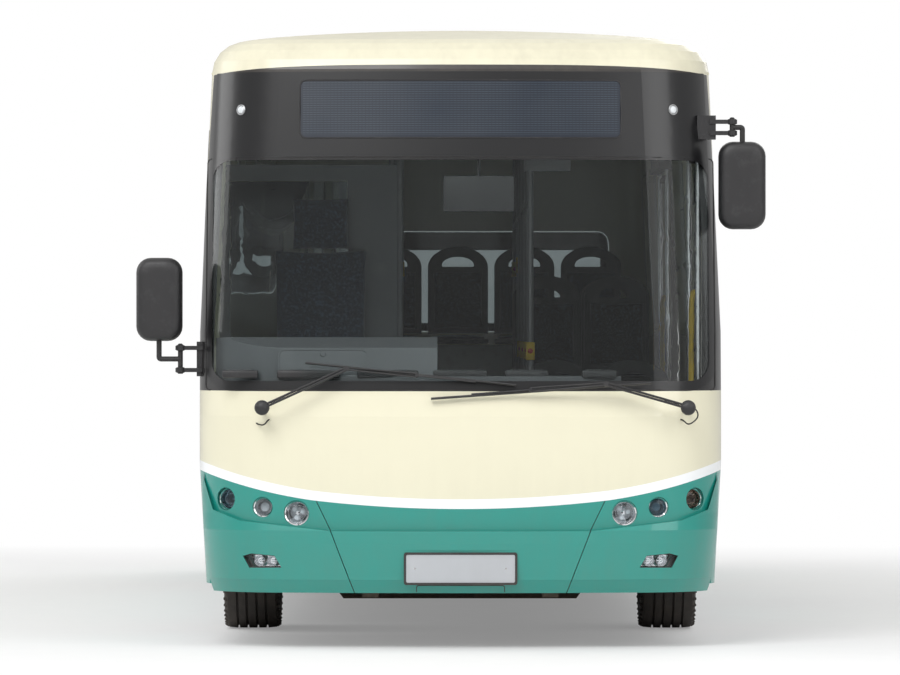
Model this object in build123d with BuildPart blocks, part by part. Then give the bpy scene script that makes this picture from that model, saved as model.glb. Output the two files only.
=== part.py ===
"""City bus, right-hand drive, low entry, about 10.5 m long.

Millimetres. The front faces -Y, +X is the kerb side with the doors, +Z is up.
The origin is on the ground, in the middle of the length and the width.
"""
from build123d import *
from math import atan2, cos, radians, sin, sqrt, tan
import os

os.makedirs("parts", exist_ok=True)

# Overall sizes
LENGTH = 10490.0
WIDTH = 2500.0
ROOF_Z = 2960.0
FRONT_OVERHANG = 2300.0
WHEELBASE = 5300.0

# Body cross-section
WALL = 45.0
GLASS = 8.0
SEAM = 0.3
GAP = 6.0
WAIST_Z = 1500.0
SKIRT_Z = 300.0
SKIRT_NARROW = 32.0
ROOF_NARROW = 65.0
CANTRAIL_Z = 2740.0
ROOF_CAP_Z = 2765.0
ROOF_CROWN = 97.0
FACE_R = 5500.0
FRONT_CORNER_R = 400.0
REAR_CORNER_R = 220.0
BUMPER_PROUD = 40.0
BUMPER_WALL = 60.0
REAR_BUMPER_PROUD = 30.0
RAKE = 7.1
REAR_LEAN = 40.0

# Wheels
TYRE_R = 478.0
TYRE_W = 278.0
RIM_R = 286.0
TRACK = 2094.0
TWIN_SPACING = 316.0
ARCH_R_FRONT = 610.0
ARCH_R_REAR = 570.0
KINGPIN_X = 875.0
PIN_R = 18.0
SPINDLE_R = 45.0
RUN = 0.6

# Floor and frame
LOW_FLOOR_Z = 360.0
HIGH_FLOOR_Z = 840.0
BENCH_FLOOR_Z = 1050.0
FLOOR_T = 40.0
RISER_Y = 1400.0
BENCH_Y = 4150.0
HOUSING_Z = 1100.0
HOUSING_T = 20.0
FRONT_HOUSING_X = 545.0
REAR_HOUSING_X = 548.0
RAIL_X = 430.0
RAIL_W = 75.0
LOW_RAIL_Z = 235.0
HIGH_RAIL_Z = 640.0

# Front mask
SCREEN_Z = 1220.0
SCREEN_TOP_Z = 2335.0
FRONT_PIECE_DEPTH = 385.0
PILLAR_LEAN = 170.0
BUMPER_Z = 266.0
STRIPE_H = 46.0
STRIPE_POINTS = [(0.0, 664.0), (700.0, 704.0), (946.0, 751.0), (1300.0, 862.0)]
SCREEN_HALF = 1232.0
SCREEN_CORNER_R = 150.0
SIGN_HALF = 766.0
SIGN_Z = (2420.0, 2700.0)

# Side windows and doorways
WINDOW_Z = (1480.0, 2480.0)
WINDOW_R = 70.0
DOOR_Z = (370.0, 2365.0)
DOOR_JAMB_GAP = 20.0
DOOR_MEET_GAP = 14.0
LEAF_T = 32.0
LEAF_X = 1203.0
LEAF_STANDOFF = 25.0
POST_BEHIND = 20.0
POST_R = 16.0

# Worked-out places
Y_FRONT = -LENGTH / 2
Y_REAR = LENGTH / 2
HALF = WIDTH / 2
FACE_Y = Y_FRONT + BUMPER_PROUD
BACK_Y = Y_REAR - REAR_BUMPER_PROUD
AXLE_FRONT_Y = Y_FRONT + FRONT_OVERHANG
AXLE_REAR_Y = AXLE_FRONT_Y + WHEELBASE
FRONT_END_Y = Y_FRONT + FRONT_PIECE_DEPTH
FRONT_END_TOP_Y = FRONT_END_Y + PILLAR_LEAN
FRONT_SPAN = FRONT_END_TOP_Y - Y_FRONT + 99.0
REAR_END_Y = BACK_Y - REAR_CORNER_R - REAR_LEAN - 25.0

SLOPE = tan(radians(RAKE))

# Body sections: height, side narrowing, front set-back, rear set-back
BODY_SECTIONS = [
    (SKIRT_Z, SKIRT_NARROW, 12.0, 20.0),
    (880.0, 0.0, 4.0, 0.0),
    (1100.0, 0.0, 0.0, 0.0),
    (WAIST_Z, 0.0, (WAIST_Z - 1100.0) * SLOPE, 0.0),
    (ROOF_Z + 90, ROOF_NARROW, (ROOF_Z + 90 - 1100.0) * SLOPE, REAR_LEAN),
]

# Roof sections over the walls: height, rounding on every side, further front and rear set-back
ROOF_SECTIONS = [
    (2752.0, 0.0, 0.0, 0.0),
    (2800.0, 8.0, 0.0, 0.0),
    (2846.0, 34.0, 0.0, 0.0),
    (2879.0, 75.0, 0.0, 0.0),
    (2900.0, 130.0, 0.0, 0.0),
    (2930.0, 130.0, 200.0, 120.0),
    (2975.0, 130.0, 560.0, 400.0),
]

# Lower bumper sections: height, side narrowing, distance behind the foremost point
BUMPER_SECTIONS = [
    (BUMPER_Z, 46.0, 62.0),
    (330.0, 36.0, 28.0),
    (500.0, 20.0, 5.0),
    (562.0, 14.0, 0.0),
    (640.0, 8.0, 18.0),
    (900.0, 0.0, 34.0),
]


def save(builder, name):
    """Label a finished piece and write its file."""
    builder.part.label = name
    export_step(builder.part, f"parts/{name}.step")


def block(x0, x1, y0, y1, z0, z1, mode=Mode.ADD):
    """A box between two corners."""
    with Locations(((x0 + x1) / 2, (y0 + y1) / 2, (z0 + z1) / 2)):
        Box(x1 - x0, y1 - y0, z1 - z0, mode=mode)


def rod(start, end, radius, mode=Mode.ADD):
    """A round bar between two points."""
    run = Vector(*end) - Vector(*start)
    with BuildSketch(Plane(origin=start, z_dir=run)) as section:
        Circle(radius)
    extrude(section.sketch, amount=run.length, mode=mode)


def outline(half, y_front, y_rear, inset):
    """One level section of the body: bowed front, large front corners, smaller rear corners."""
    face_r = FACE_R - inset
    corner = FRONT_CORNER_R - inset
    rear = REAR_CORNER_R - inset
    half = half - inset
    y_front = y_front + inset
    y_rear = y_rear - inset
    cx = half - corner
    cy = y_front + face_r - sqrt((face_r - corner) ** 2 - cx ** 2)
    share = face_r / (face_r - corner)
    tx = cx * share
    ty = y_front + face_r - (y_front + face_r - cy) * share
    mid = atan2(ty - cy, tx - cx) / 2
    mx = cx + corner * cos(mid)
    my = cy + corner * sin(mid)
    bite = rear * (1 - sqrt(0.5))
    with BuildLine() as edge:
        ThreePointArc((-tx, ty), (0, y_front), (tx, ty))
        ThreePointArc((tx, ty), (mx, my), (half, cy))
        Line((half, cy), (half, y_rear - rear))
        ThreePointArc((half, y_rear - rear), (half - bite, y_rear - bite), (half - rear, y_rear))
        Line((half - rear, y_rear), (-half + rear, y_rear))
        ThreePointArc((-half + rear, y_rear), (-half + bite, y_rear - bite), (-half, y_rear - rear))
        Line((-half, y_rear - rear), (-half, cy))
        ThreePointArc((-half, cy), (-mx, my), (-tx, ty))
    make_face(edge.edges())


def body_solid(inset):
    """The whole body as one closed form, drawn in by inset on every side."""
    wall_z, top_z = WAIST_Z, BODY_SECTIONS[-1][0]
    levels = [(z, narrow, set_back, set_in, inset) for z, narrow, set_back, set_in in BODY_SECTIONS[:-1]]
    for z, rounding, further_front, further_rear in ROOF_SECTIONS if inset < WALL else ROOF_SECTIONS[::2]:
        share = (z - inset - wall_z) / (top_z - wall_z)
        set_back = (z - inset - 1100.0) * SLOPE + further_front
        levels.append((z - inset, share * ROOF_NARROW, set_back, share * REAR_LEAN + further_rear, inset + rounding))
    with BuildPart() as body:
        for z, narrow, set_back, set_in, drawn_in in levels:
            with BuildSketch(Plane.XY.offset(z)):
                outline(HALF - narrow, FACE_Y + set_back, BACK_Y - set_in, drawn_in)
        loft(ruled=True)
        with BuildSketch(Plane.XZ.offset(LENGTH)):
            with BuildLine():
                top = ROOF_Z - inset
                edge = HALF + 50
                drop = top - ROOF_CROWN
                ThreePointArc((-edge, drop), (0, top), (edge, drop))
                Polyline((edge, drop), (edge, 0), (-edge, 0), (-edge, drop))
            make_face()
        extrude(amount=-2 * LENGTH, mode=Mode.INTERSECT)
    return body.part


def bumper_solid(inset):
    """The lower bumper form as one closed solid, drawn in by inset."""
    with BuildPart() as form:
        for z, narrow, set_back in BUMPER_SECTIONS:
            with BuildSketch(Plane.XY.offset(z)):
                outline(HALF - narrow, Y_FRONT + set_back, 0.0, inset)
        loft(ruled=True)
    return form.part


def section_at(z):
    """Half width and front face of the body at a height."""
    for low, high in zip(BODY_SECTIONS, BODY_SECTIONS[1:]):
        if z <= high[0]:
            break
    share = (z - low[0]) / (high[0] - low[0])
    narrow = low[1] + (high[1] - low[1]) * share
    set_back = low[2] + (high[2] - low[2]) * share
    return HALF - narrow, FACE_Y + set_back


def front_y(x, z):
    """Where the body's front surface lies at a place seen from the front."""
    half, y_face = section_at(z)
    cx = half - FRONT_CORNER_R
    tx = cx * FACE_R / (FACE_R - FRONT_CORNER_R)
    if abs(x) <= tx:
        return y_face + FACE_R - sqrt(FACE_R ** 2 - x ** 2)
    cy = y_face + FACE_R - sqrt((FACE_R - FRONT_CORNER_R) ** 2 - cx ** 2)
    return cy - sqrt(FRONT_CORNER_R ** 2 - (abs(x) - cx) ** 2)


OUTER = body_solid(0.0)
OVER = body_solid(-SEAM)
GLASS_BACK = body_solid(GLASS)
INNER = body_solid(WALL)
CABIN = body_solid(WALL + SEAM)
SHELL = OUTER - INNER
SKIN = OUTER - GLASS_BACK
BUMPER_SHELL = bumper_solid(0.0) - bumper_solid(BUMPER_WALL)


def stripe_line():
    """The lower line of the white stripe, from one side of the front to the other."""
    low, join, mid, end = STRIPE_POINTS
    ThreePointArc((-end[0], end[1]), (-mid[0], mid[1]), (-join[0], join[1]))
    ThreePointArc((-join[0], join[1]), low, join)
    ThreePointArc(join, mid, end)


def front_region(mode, back_off=0.0):
    """Keep or cut all that lies before the split between the front pieces and the sides."""
    with BuildSketch(Plane.YZ) as region:
        with BuildLine():
            Polyline((Y_FRONT - 99, 0), (FRONT_END_Y - back_off, 0), (FRONT_END_Y - back_off, SCREEN_Z),
                     (FRONT_END_TOP_Y - back_off, CANTRAIL_Z), (Y_FRONT - 99, CANTRAIL_Z), close=True)
        make_face()
    extrude(region.sketch, amount=HALF + 99, both=True, mode=mode)


# Roof: everything above the cantrail, with two hatch openings
HATCHES = [("front", -1900.0), ("rear", 2500.0)]
HATCH_HALF_X = 340.0
HATCH_HALF_Y = 270.0
HATCH_LAP = 35.0
HATCH_T = 28.0
HATCH_CURB = 28.0
HATCH_LID_Z = ROOF_Z + 6.0
HATCH_HINGE_R = 8.0

with BuildPart() as roof:
    add(SHELL)
    block(-HALF - 9, HALF + 9, Y_FRONT, Y_REAR, CANTRAIL_Z, ROOF_Z + 9, mode=Mode.INTERSECT)
    for hatch_name, hatch_y in HATCHES:
        curb_x = HATCH_HALF_X + HATCH_CURB
        curb_y = HATCH_HALF_Y + HATCH_CURB
        block(-curb_x, curb_x, hatch_y - curb_y, hatch_y + curb_y, ROOF_Z - WALL - 20, HATCH_LID_Z - SEAM)
        block(-HATCH_HALF_X, HATCH_HALF_X, hatch_y - HATCH_HALF_Y, hatch_y + HATCH_HALF_Y,
              CANTRAIL_Z, ROOF_Z + 9, mode=Mode.SUBTRACT)
save(roof, "roof")


# Front header: the black band over the windscreen, cut for the destination sign
with BuildPart() as front_header:
    add(SHELL)
    block(-HALF - 9, HALF + 9, Y_FRONT - 9, FRONT_END_TOP_Y,
          SCREEN_TOP_Z - SCREEN_CORNER_R, CANTRAIL_Z, mode=Mode.INTERSECT)
    front_region(Mode.INTERSECT)
    with BuildSketch(Plane.XZ.offset(-FRONT_END_TOP_Y)) as screen_opening:
        with Locations((0, (SCREEN_Z + SCREEN_TOP_Z) / 2)):
            RectangleRounded(2 * SCREEN_HALF, SCREEN_TOP_Z - SCREEN_Z, SCREEN_CORNER_R)
    extrude(amount=FRONT_SPAN, mode=Mode.SUBTRACT)
    with BuildSketch(Plane.XZ.offset(-FRONT_END_TOP_Y)):
        with Locations((0, sum(SIGN_Z) / 2)):
            RectangleRounded(2 * SIGN_HALF, SIGN_Z[1] - SIGN_Z[0], 30)
    extrude(amount=FRONT_SPAN, mode=Mode.SUBTRACT)
save(front_header, "front_header")

with BuildPart() as windscreen:
    add(SKIN)
    with BuildSketch(Plane.XZ.offset(-FRONT_END_TOP_Y)):
        with Locations((0, (SCREEN_Z + SCREEN_TOP_Z) / 2)):
            RectangleRounded(2 * SCREEN_HALF, SCREEN_TOP_Z - SCREEN_Z - 2 * SEAM, SCREEN_CORNER_R)
    extrude(amount=FRONT_SPAN, mode=Mode.INTERSECT)
    front_region(Mode.INTERSECT, SEAM)
save(windscreen, "windscreen")

# Destination sign: a pane flush with the header and the sign's case behind it, left blank
SIGN_CASE_D = 130.0
with BuildPart() as destination_sign:
    add(SKIN)
    with BuildSketch(Plane.XZ.offset(-FRONT_END_TOP_Y)):
        with Locations((0, sum(SIGN_Z) / 2)):
            RectangleRounded(2 * (SIGN_HALF - SEAM), SIGN_Z[1] - SIGN_Z[0] - 2 * SEAM, 30)
    extrude(amount=FRONT_SPAN, mode=Mode.INTERSECT)
    sign_face = front_y(SIGN_HALF + 20, SIGN_Z[1] + 10) + WALL + 1
    block(-SIGN_HALF - 20, SIGN_HALF + 20, sign_face, sign_face + SIGN_CASE_D,
          SIGN_Z[0] - 15, SIGN_Z[1] + 10)
save(destination_sign, "destination_sign")

# Wipers: each turns on a shaft in the front panel, in a plane just clear of the glass
WIPER_Z = 1139.0
WIPERS = [
    ("right", -937.0, [(-538.0, 1322.0), (-206.0, 1290.0)], [(-733.0, 1352.0), (262.0, 1246.0)]),
    ("left", 1074.0, [(686.0, 1250.0), (330.0, 1222.0)], [(-140.0, 1182.0), (899.0, 1256.0)]),
]
WIPER_CLEAR = 12.0
BLADE_H = 7.0
BLADE_D = 26.0
ARM_ROD_R = 6.0
WIPER_CAP_R = 36.0
WIPER_SHAFT_R = 14.0
glass_y = front_y(0, SCREEN_Z)
wiper_plane = Plane(origin=(0, glass_y, SCREEN_Z), x_dir=(1, 0, 0),
                    z_dir=(0, -cos(radians(RAKE)), sin(radians(RAKE))))


def on_glass(x, z, lift):
    """A place over the glass, lifted off it along the wipers' axis."""
    up = (z - SCREEN_Z) / cos(radians(RAKE))
    return wiper_plane.from_local_coords(Vector(x, up, lift))


# Front panel: cream, down to the lower line of the stripe, with a hole for each wiper shaft
with BuildPart() as front_panel:
    add(SHELL)
    with BuildSketch(Plane.XZ.offset(-FRONT_END_TOP_Y)):
        with BuildLine():
            stripe_line()
            end_x, end_z = STRIPE_POINTS[-1]
            top = SCREEN_Z + SCREEN_CORNER_R
            Polyline((end_x, end_z), (end_x, top), (-end_x, top), (-end_x, end_z))
        make_face()
    extrude(amount=FRONT_SPAN, mode=Mode.INTERSECT)
    front_region(Mode.INTERSECT)
    add(extrude(screen_opening.sketch, amount=FRONT_SPAN, mode=Mode.PRIVATE), mode=Mode.SUBTRACT)
    for wiper_name, pivot_x, arm_points, blade_ends in WIPERS:
        rod(on_glass(pivot_x, WIPER_Z, -200), on_glass(pivot_x, WIPER_Z, 60), WIPER_SHAFT_R + RUN, mode=Mode.SUBTRACT)
save(front_panel, "front_panel")

# Bumper: a set-back lamp mask over a lower bumper that stands proud and sweeps up at the corners
CREASE = [(614.0, 560.0), (1046.0, 607.0), (1178.0, 655.0), (1224.0, 797.0), (1240.0, 880.0)]
BUMPER_SEAM = [(692.0, 720.0), (614.0, 560.0), (476.0, 200.0)]
BUMPER_CUT = 4.0

# Round lamps: name, distance from the middle, height, radius, outward lean
HEADLAMPS = [
    ("outer", 1097.0, 707.0, 50.0, 20.0),
    ("middle", 935.0, 670.0, 45.0, 9.0),
    ("inner", 775.0, 643.0, 57.0, 6.0),
]
LAMP_DEPTH = 110.0
LAMP_WALL = 4.0
FOG_SHAPE = [(847.0, 386.0), (1000.0, 384.0), (1030.0, 440.0), (990.0, 452.0), (880.0, 442.0)]
FOG_SET = 95.0
FOG_DEPTH = 70.0
PLATE_RECESS = (350.0, 340.0, 470.0, 16.0)

with BuildPart() as bumper:
    add(BUMPER_SHELL)
    with BuildSketch(Plane.XZ.offset(-FRONT_END_Y)) as low_region:
        with BuildLine():
            right = CREASE
            left = [(-x, z) for x, z in reversed(CREASE)]
            Polyline(*right, (HALF + 60, 880), (HALF + 60, 200), (-HALF - 60, 200), (-HALF - 60, 880), *left,
                     close=True)
        make_face()
    extrude(amount=FRONT_PIECE_DEPTH + 99, mode=Mode.INTERSECT)
with BuildPart() as mask:
    add(SHELL)
    with BuildSketch(Plane.XZ.offset(-FRONT_END_Y)):
        with BuildLine():
            stripe_line()
            Polyline(STRIPE_POINTS[-1], (1300, 540), (-1300, 540), (-1300, STRIPE_POINTS[-1][1]))
        make_face()
    extrude(amount=FRONT_PIECE_DEPTH + 99, mode=Mode.INTERSECT)

FRONT_MASK = bumper.part + mask.part


def lamp_axis(lamp):
    """A plane in a lamp's mouth, facing out of it, for one side of the bus."""
    name, x, z, radius, lean, side = lamp
    edge_x = x + radius
    mouth = front_y(edge_x, z) + radius * sin(radians(lean))
    outward = (side * sin(radians(lean)), -cos(radians(lean)), 0)
    return Plane(origin=(side * x, mouth, z), x_dir=(cos(radians(lean)), side * sin(radians(lean)), 0),
                 z_dir=outward)


LAMPS = [(*lamp, side) for lamp in HEADLAMPS for side in (-1, 1)]


def fog_outline(grow, side):
    """The fog lamp's five-sided outline, seen from the front."""
    with BuildLine() as edge:
        Polyline(*[(side * x, z) for x, z in FOG_SHAPE], close=True)
    make_face(edge.edges())
    if grow:
        offset(amount=grow, kind=Kind.INTERSECTION)


def cut_for_lamps():
    """Round holes for the headlamps and five-sided ones for the fog lamps."""
    for lamp in LAMPS:
        with BuildSketch(lamp_axis(lamp)) as hole:
            Circle(lamp[3] + LAMP_WALL + SEAM)
        extrude(hole.sketch, amount=LAMP_DEPTH, both=True, mode=Mode.SUBTRACT)
    for side in (-1, 1):
        with BuildSketch(Plane.XZ.offset(-FRONT_END_Y)) as hole:
            fog_outline(SEAM, side)
        extrude(hole.sketch, amount=FRONT_PIECE_DEPTH + 99, mode=Mode.SUBTRACT)


def seam_region(inner):
    """The part of the front between the bumper's two slanted seams."""
    cut = BUMPER_CUT / 2 if inner else -BUMPER_CUT / 2
    points = [(x - cut, z) for x, z in BUMPER_SEAM]
    mirrored = [(-x, z) for x, z in reversed(points)]
    with BuildLine() as edge:
        Polyline(*points, *mirrored, close=True)
    make_face(edge.edges())


with BuildPart() as bumper_center:
    add(FRONT_MASK)
    with BuildSketch(Plane.XZ.offset(-FRONT_END_Y)):
        seam_region(True)
    extrude(amount=FRONT_PIECE_DEPTH + 99, mode=Mode.INTERSECT)
    plate_half, plate_low, plate_high, plate_depth = PLATE_RECESS
    with BuildSketch(Plane.XZ.offset(-Y_FRONT)):
        with Locations((0, (plate_low + plate_high) / 2)):
            RectangleRounded(2 * plate_half, plate_high - plate_low, 40)
    extrude(amount=plate_depth, both=True, mode=Mode.SUBTRACT)
save(bumper_center, "bumper_center")

with BuildPart() as bumper_corners:
    add(FRONT_MASK)
    with BuildSketch(Plane.XZ.offset(-FRONT_END_Y)):
        seam_region(False)
    extrude(amount=FRONT_PIECE_DEPTH + 99, mode=Mode.SUBTRACT)
    cut_for_lamps()
save(bumper_corners, "bumper_corners")

# Lamp cups stand in the mask, each with a lens across its mouth
LENS_T = 10.0
LENS_SET = 6.0
MARKERS = [(-1046.0, 2560.0), (1013.0, 2560.0)]
MARKER_R = 26.0

with BuildPart() as lamp_cups:
    for lamp in LAMPS:
        mouth = lamp_axis(lamp)
        radius = lamp[3]
        with BuildSketch(mouth) as ring:
            Circle(radius + LAMP_WALL)
        extrude(ring.sketch, amount=-LAMP_DEPTH)
        with BuildSketch(mouth) as hollow:
            Circle(radius)
        extrude(hollow.sketch, amount=-(LAMP_DEPTH - LAMP_WALL), mode=Mode.SUBTRACT)
save(lamp_cups, "lamp_cups")

with BuildPart() as lamp_lenses:
    for x, z in MARKERS:
        surface = front_y(abs(x) - MARKER_R, z)
        with BuildSketch(Plane.XZ.offset(-surface - MARKER_R)) as disc:
            with Locations((x, z)):
                Circle(MARKER_R)
        extrude(disc.sketch, amount=MARKER_R + 6)
    add(OVER, mode=Mode.SUBTRACT)
    for lamp in LAMPS:
        seat = lamp_axis(lamp).offset(-LENS_SET - LENS_T)
        with BuildSketch(seat) as disc:
            Circle(lamp[3] - SEAM)
        extrude(disc.sketch, amount=LENS_T, taper=25)
    for side in (-1, 1):
        with BuildSketch(Plane.XZ.offset(-Y_FRONT - FOG_SET)) as shape:
            fog_outline(0, side)
        extrude(shape.sketch, amount=-FOG_DEPTH)
save(lamp_lenses, "lamp_lenses")

# Side walls: windows as openings in each wall, columns are the near and far ends in Y
WINDOWS_RIGHT = [(-4620.0, -3740.0), (-3560.0, -2240.0), (-2120.0, -800.0), (-680.0, 640.0),
                 (760.0, 2080.0), (2200.0, 3520.0), (3640.0, 4880.0)]
WINDOWS_LEFT = [(-3480.0, -2240.0), (-2120.0, -760.0), (760.0, 2080.0), (2200.0, 3520.0), (3640.0, 4880.0)]
DRIVER_SILL = 1290.0
DOORWAYS = [("front", -4620.0, -3655.0), ("middle", -600.0, 600.0)]
LEFT, RIGHT = 1, -1


def rounded_outline(x0, x1, y0, y1, radius):
    """A rectangle whose corners are each drawn as three short straight runs."""
    centers = [(x1 - radius, y1 - radius, 0), (x0 + radius, y1 - radius, 90),
               (x0 + radius, y0 + radius, 180), (x1 - radius, y0 + radius, 270)]
    points = []
    for cx, cy, start in centers:
        for turn in (0, 30, 60, 90):
            angle = radians(start + turn)
            points.append((cx + radius * cos(angle), cy + radius * sin(angle)))
    with BuildLine() as edge:
        Polyline(*points, close=True)
    make_face(edge.edges())


def window_shapes(windows, side, shrink):
    """Window outlines along one side."""
    for first, (y0, y1) in enumerate(windows):
        sill = DRIVER_SILL if side == RIGHT and first == 0 else WINDOW_Z[0]
        rounded_outline(y0 + shrink, y1 - shrink, sill + shrink, WINDOW_Z[1] - shrink, WINDOW_R - shrink)


def cut_arches():
    """Round wheel arches through both sides."""
    for y, radius in ((AXLE_FRONT_Y, ARCH_R_FRONT), (AXLE_REAR_Y, ARCH_R_REAR)):
        with BuildSketch(Plane.YZ) as arch:
            with Locations((y, TYRE_R)):
                Circle(radius)
        extrude(arch.sketch, amount=WIDTH, both=True, mode=Mode.SUBTRACT)


side_panes = []
for side_name, side, windows in (("left", LEFT, WINDOWS_LEFT), ("right", RIGHT, WINDOWS_RIGHT)):
    x_in, x_out = sorted((0.0, side * (HALF + 9)))
    with BuildPart() as side_wall:
        add(SHELL)
        block(x_in, x_out, FRONT_END_Y, REAR_END_Y, SKIRT_Z - 9, CANTRAIL_Z, mode=Mode.INTERSECT)
        front_region(Mode.SUBTRACT)
        cut_arches()
        with BuildSketch(Plane.YZ) as openings:
            window_shapes(windows, side, 0.0)
        extrude(openings.sketch, amount=side * WIDTH, mode=Mode.SUBTRACT)
        if side == LEFT:
            for door_name, y0, y1 in DOORWAYS:
                block(0, WIDTH, y0, y1, DOOR_Z[0], DOOR_Z[1], mode=Mode.SUBTRACT)
    save(side_wall, f"side_wall_{side_name}")
    with BuildPart() as side_windows:
        add(SKIN)
        with BuildSketch(Plane.YZ) as panes:
            window_shapes(windows, side, SEAM)
        extrude(panes.sketch, amount=side * WIDTH, mode=Mode.INTERSECT)
    side_panes.append(side_windows.part)

# Rear wall with its window, engine hatch opening and lamp holes
REAR_WINDOW = (960.0, 1500.0, 2140.0)
HATCH_OPENING = (820.0, 620.0, 1330.0)
TAIL_LAMPS_X = 930.0
TAIL_LAMPS_Z = [1010.0, 1130.0, 1250.0]
TAIL_LAMP_R = 48.0
TAIL_LAMP_D = 38.0
REAR_BUMPER_TOP = 600.0

with BuildPart() as rear_wall:
    add(SHELL)
    block(-HALF - 9, HALF + 9, REAR_END_Y, Y_REAR + 9, REAR_BUMPER_TOP + SEAM, CANTRAIL_Z, mode=Mode.INTERSECT)
    half_w, low, high = REAR_WINDOW
    with BuildSketch(Plane.XZ.offset(-BACK_Y + 300)):
        rounded_outline(-half_w, half_w, low, high, WINDOW_R)
    extrude(amount=-400, mode=Mode.SUBTRACT)
    half_w, low, high = HATCH_OPENING
    block(-half_w, half_w, BACK_Y - 300, BACK_Y + 100, low, high, mode=Mode.SUBTRACT)
    with BuildSketch(Plane.XZ.offset(-BACK_Y + 300)):
        with Locations(*[(side * TAIL_LAMPS_X, z) for side in (-1, 1) for z in TAIL_LAMPS_Z]):
            Circle(TAIL_LAMP_R + SEAM)
    extrude(amount=-400, mode=Mode.SUBTRACT)
save(rear_wall, "rear_wall")

with BuildPart() as rear_window:
    add(SKIN)
    half_w, low, high = REAR_WINDOW
    with BuildSketch(Plane.XZ.offset(-BACK_Y + 300)):
        rounded_outline(-half_w + SEAM, half_w - SEAM, low + SEAM, high - SEAM, WINDOW_R - SEAM)
    extrude(amount=-400, mode=Mode.INTERSECT)

with BuildPart() as windows:
    add(rear_window.part)
    for panes in side_panes:
        add(panes)
save(windows, "windows")

with BuildPart() as tail_lamps:
    with BuildSketch(Plane.XZ.offset(-BACK_Y + TAIL_LAMP_D)):
        with Locations(*[(side * TAIL_LAMPS_X, z) for side in (-1, 1) for z in TAIL_LAMPS_Z]):
            Circle(TAIL_LAMP_R)
    extrude(amount=-(TAIL_LAMP_D + 8), taper=6)
save(tail_lamps, "tail_lamps")

# Rear bumper sections: height, side narrowing, distance inside the rearmost point
REAR_BUMPER_SECTIONS = [(SKIRT_Z, 34.0, 26.0), (420.0, 22.0, 0.0), (540.0, 14.0, 0.0), (REAR_BUMPER_TOP, 12.0, 28.0)]


def rear_bumper_solid(inset):
    """The rear bumper form as one closed solid."""
    with BuildPart() as form:
        for z, narrow, set_in in REAR_BUMPER_SECTIONS:
            with BuildSketch(Plane.XY.offset(z)):
                outline(HALF - narrow, 0.0, Y_REAR - set_in, inset)
        loft(ruled=True)
    return form.part


with BuildPart() as rear_bumper:
    add(rear_bumper_solid(0.0))
    add(rear_bumper_solid(WALL), mode=Mode.SUBTRACT)
    block(-HALF - 9, HALF + 9, REAR_END_Y + SEAM, Y_REAR + 9, SKIRT_Z, REAR_BUMPER_TOP, mode=Mode.INTERSECT)
save(rear_bumper, "rear_bumper")

# Engine hatch, hinged along its top edge on a barrel that stands on the rear wall
HATCH_HINGE_Z = HATCH_OPENING[2] + GAP
HATCH_HINGE_Y = BACK_Y + 11.0
HATCH_BARREL_R = 10.7

with BuildPart() as engine_hatch:
    half_w, low, high = HATCH_OPENING
    block(-half_w + GAP, half_w - GAP, BACK_Y - WALL, BACK_Y, low + GAP, high - GAP)
    for x in (-500, 500):
        rod((x - 60, HATCH_HINGE_Y, HATCH_HINGE_Z), (x + 60, HATCH_HINGE_Y, HATCH_HINGE_Z), HATCH_BARREL_R)
        block(x - 60, x + 60, BACK_Y - 1, BACK_Y + 4, high - 70, high - GAP)
        block(x - 60, x + 60, BACK_Y + SEAM, BACK_Y + 4, high - 70, HATCH_HINGE_Z)
save(engine_hatch, "engine_hatch")

# Floor: low from the front to behind the middle doors, two steps up, a bench step over the engine
STEP_X = 300.0
STEP_RISE = (HIGH_FLOOR_Z - LOW_FLOOR_Z) / 3
STEP_RUN = 300.0
HOUSINGS = [
    ("front", AXLE_FRONT_Y, ARCH_R_FRONT + 10, FRONT_HOUSING_X, LOW_FLOOR_Z),
    ("rear", AXLE_REAR_Y, ARCH_R_REAR + 10, REAR_HOUSING_X, HIGH_FLOOR_Z),
]
DRIVER_BOX = (-260.0, -4820.0, 730.0)
FLOOR_FRONT_Y = -5100.0
FLOOR_FULL_Y = -4850.0
FLOOR_NOSE_X = 600.0

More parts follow.
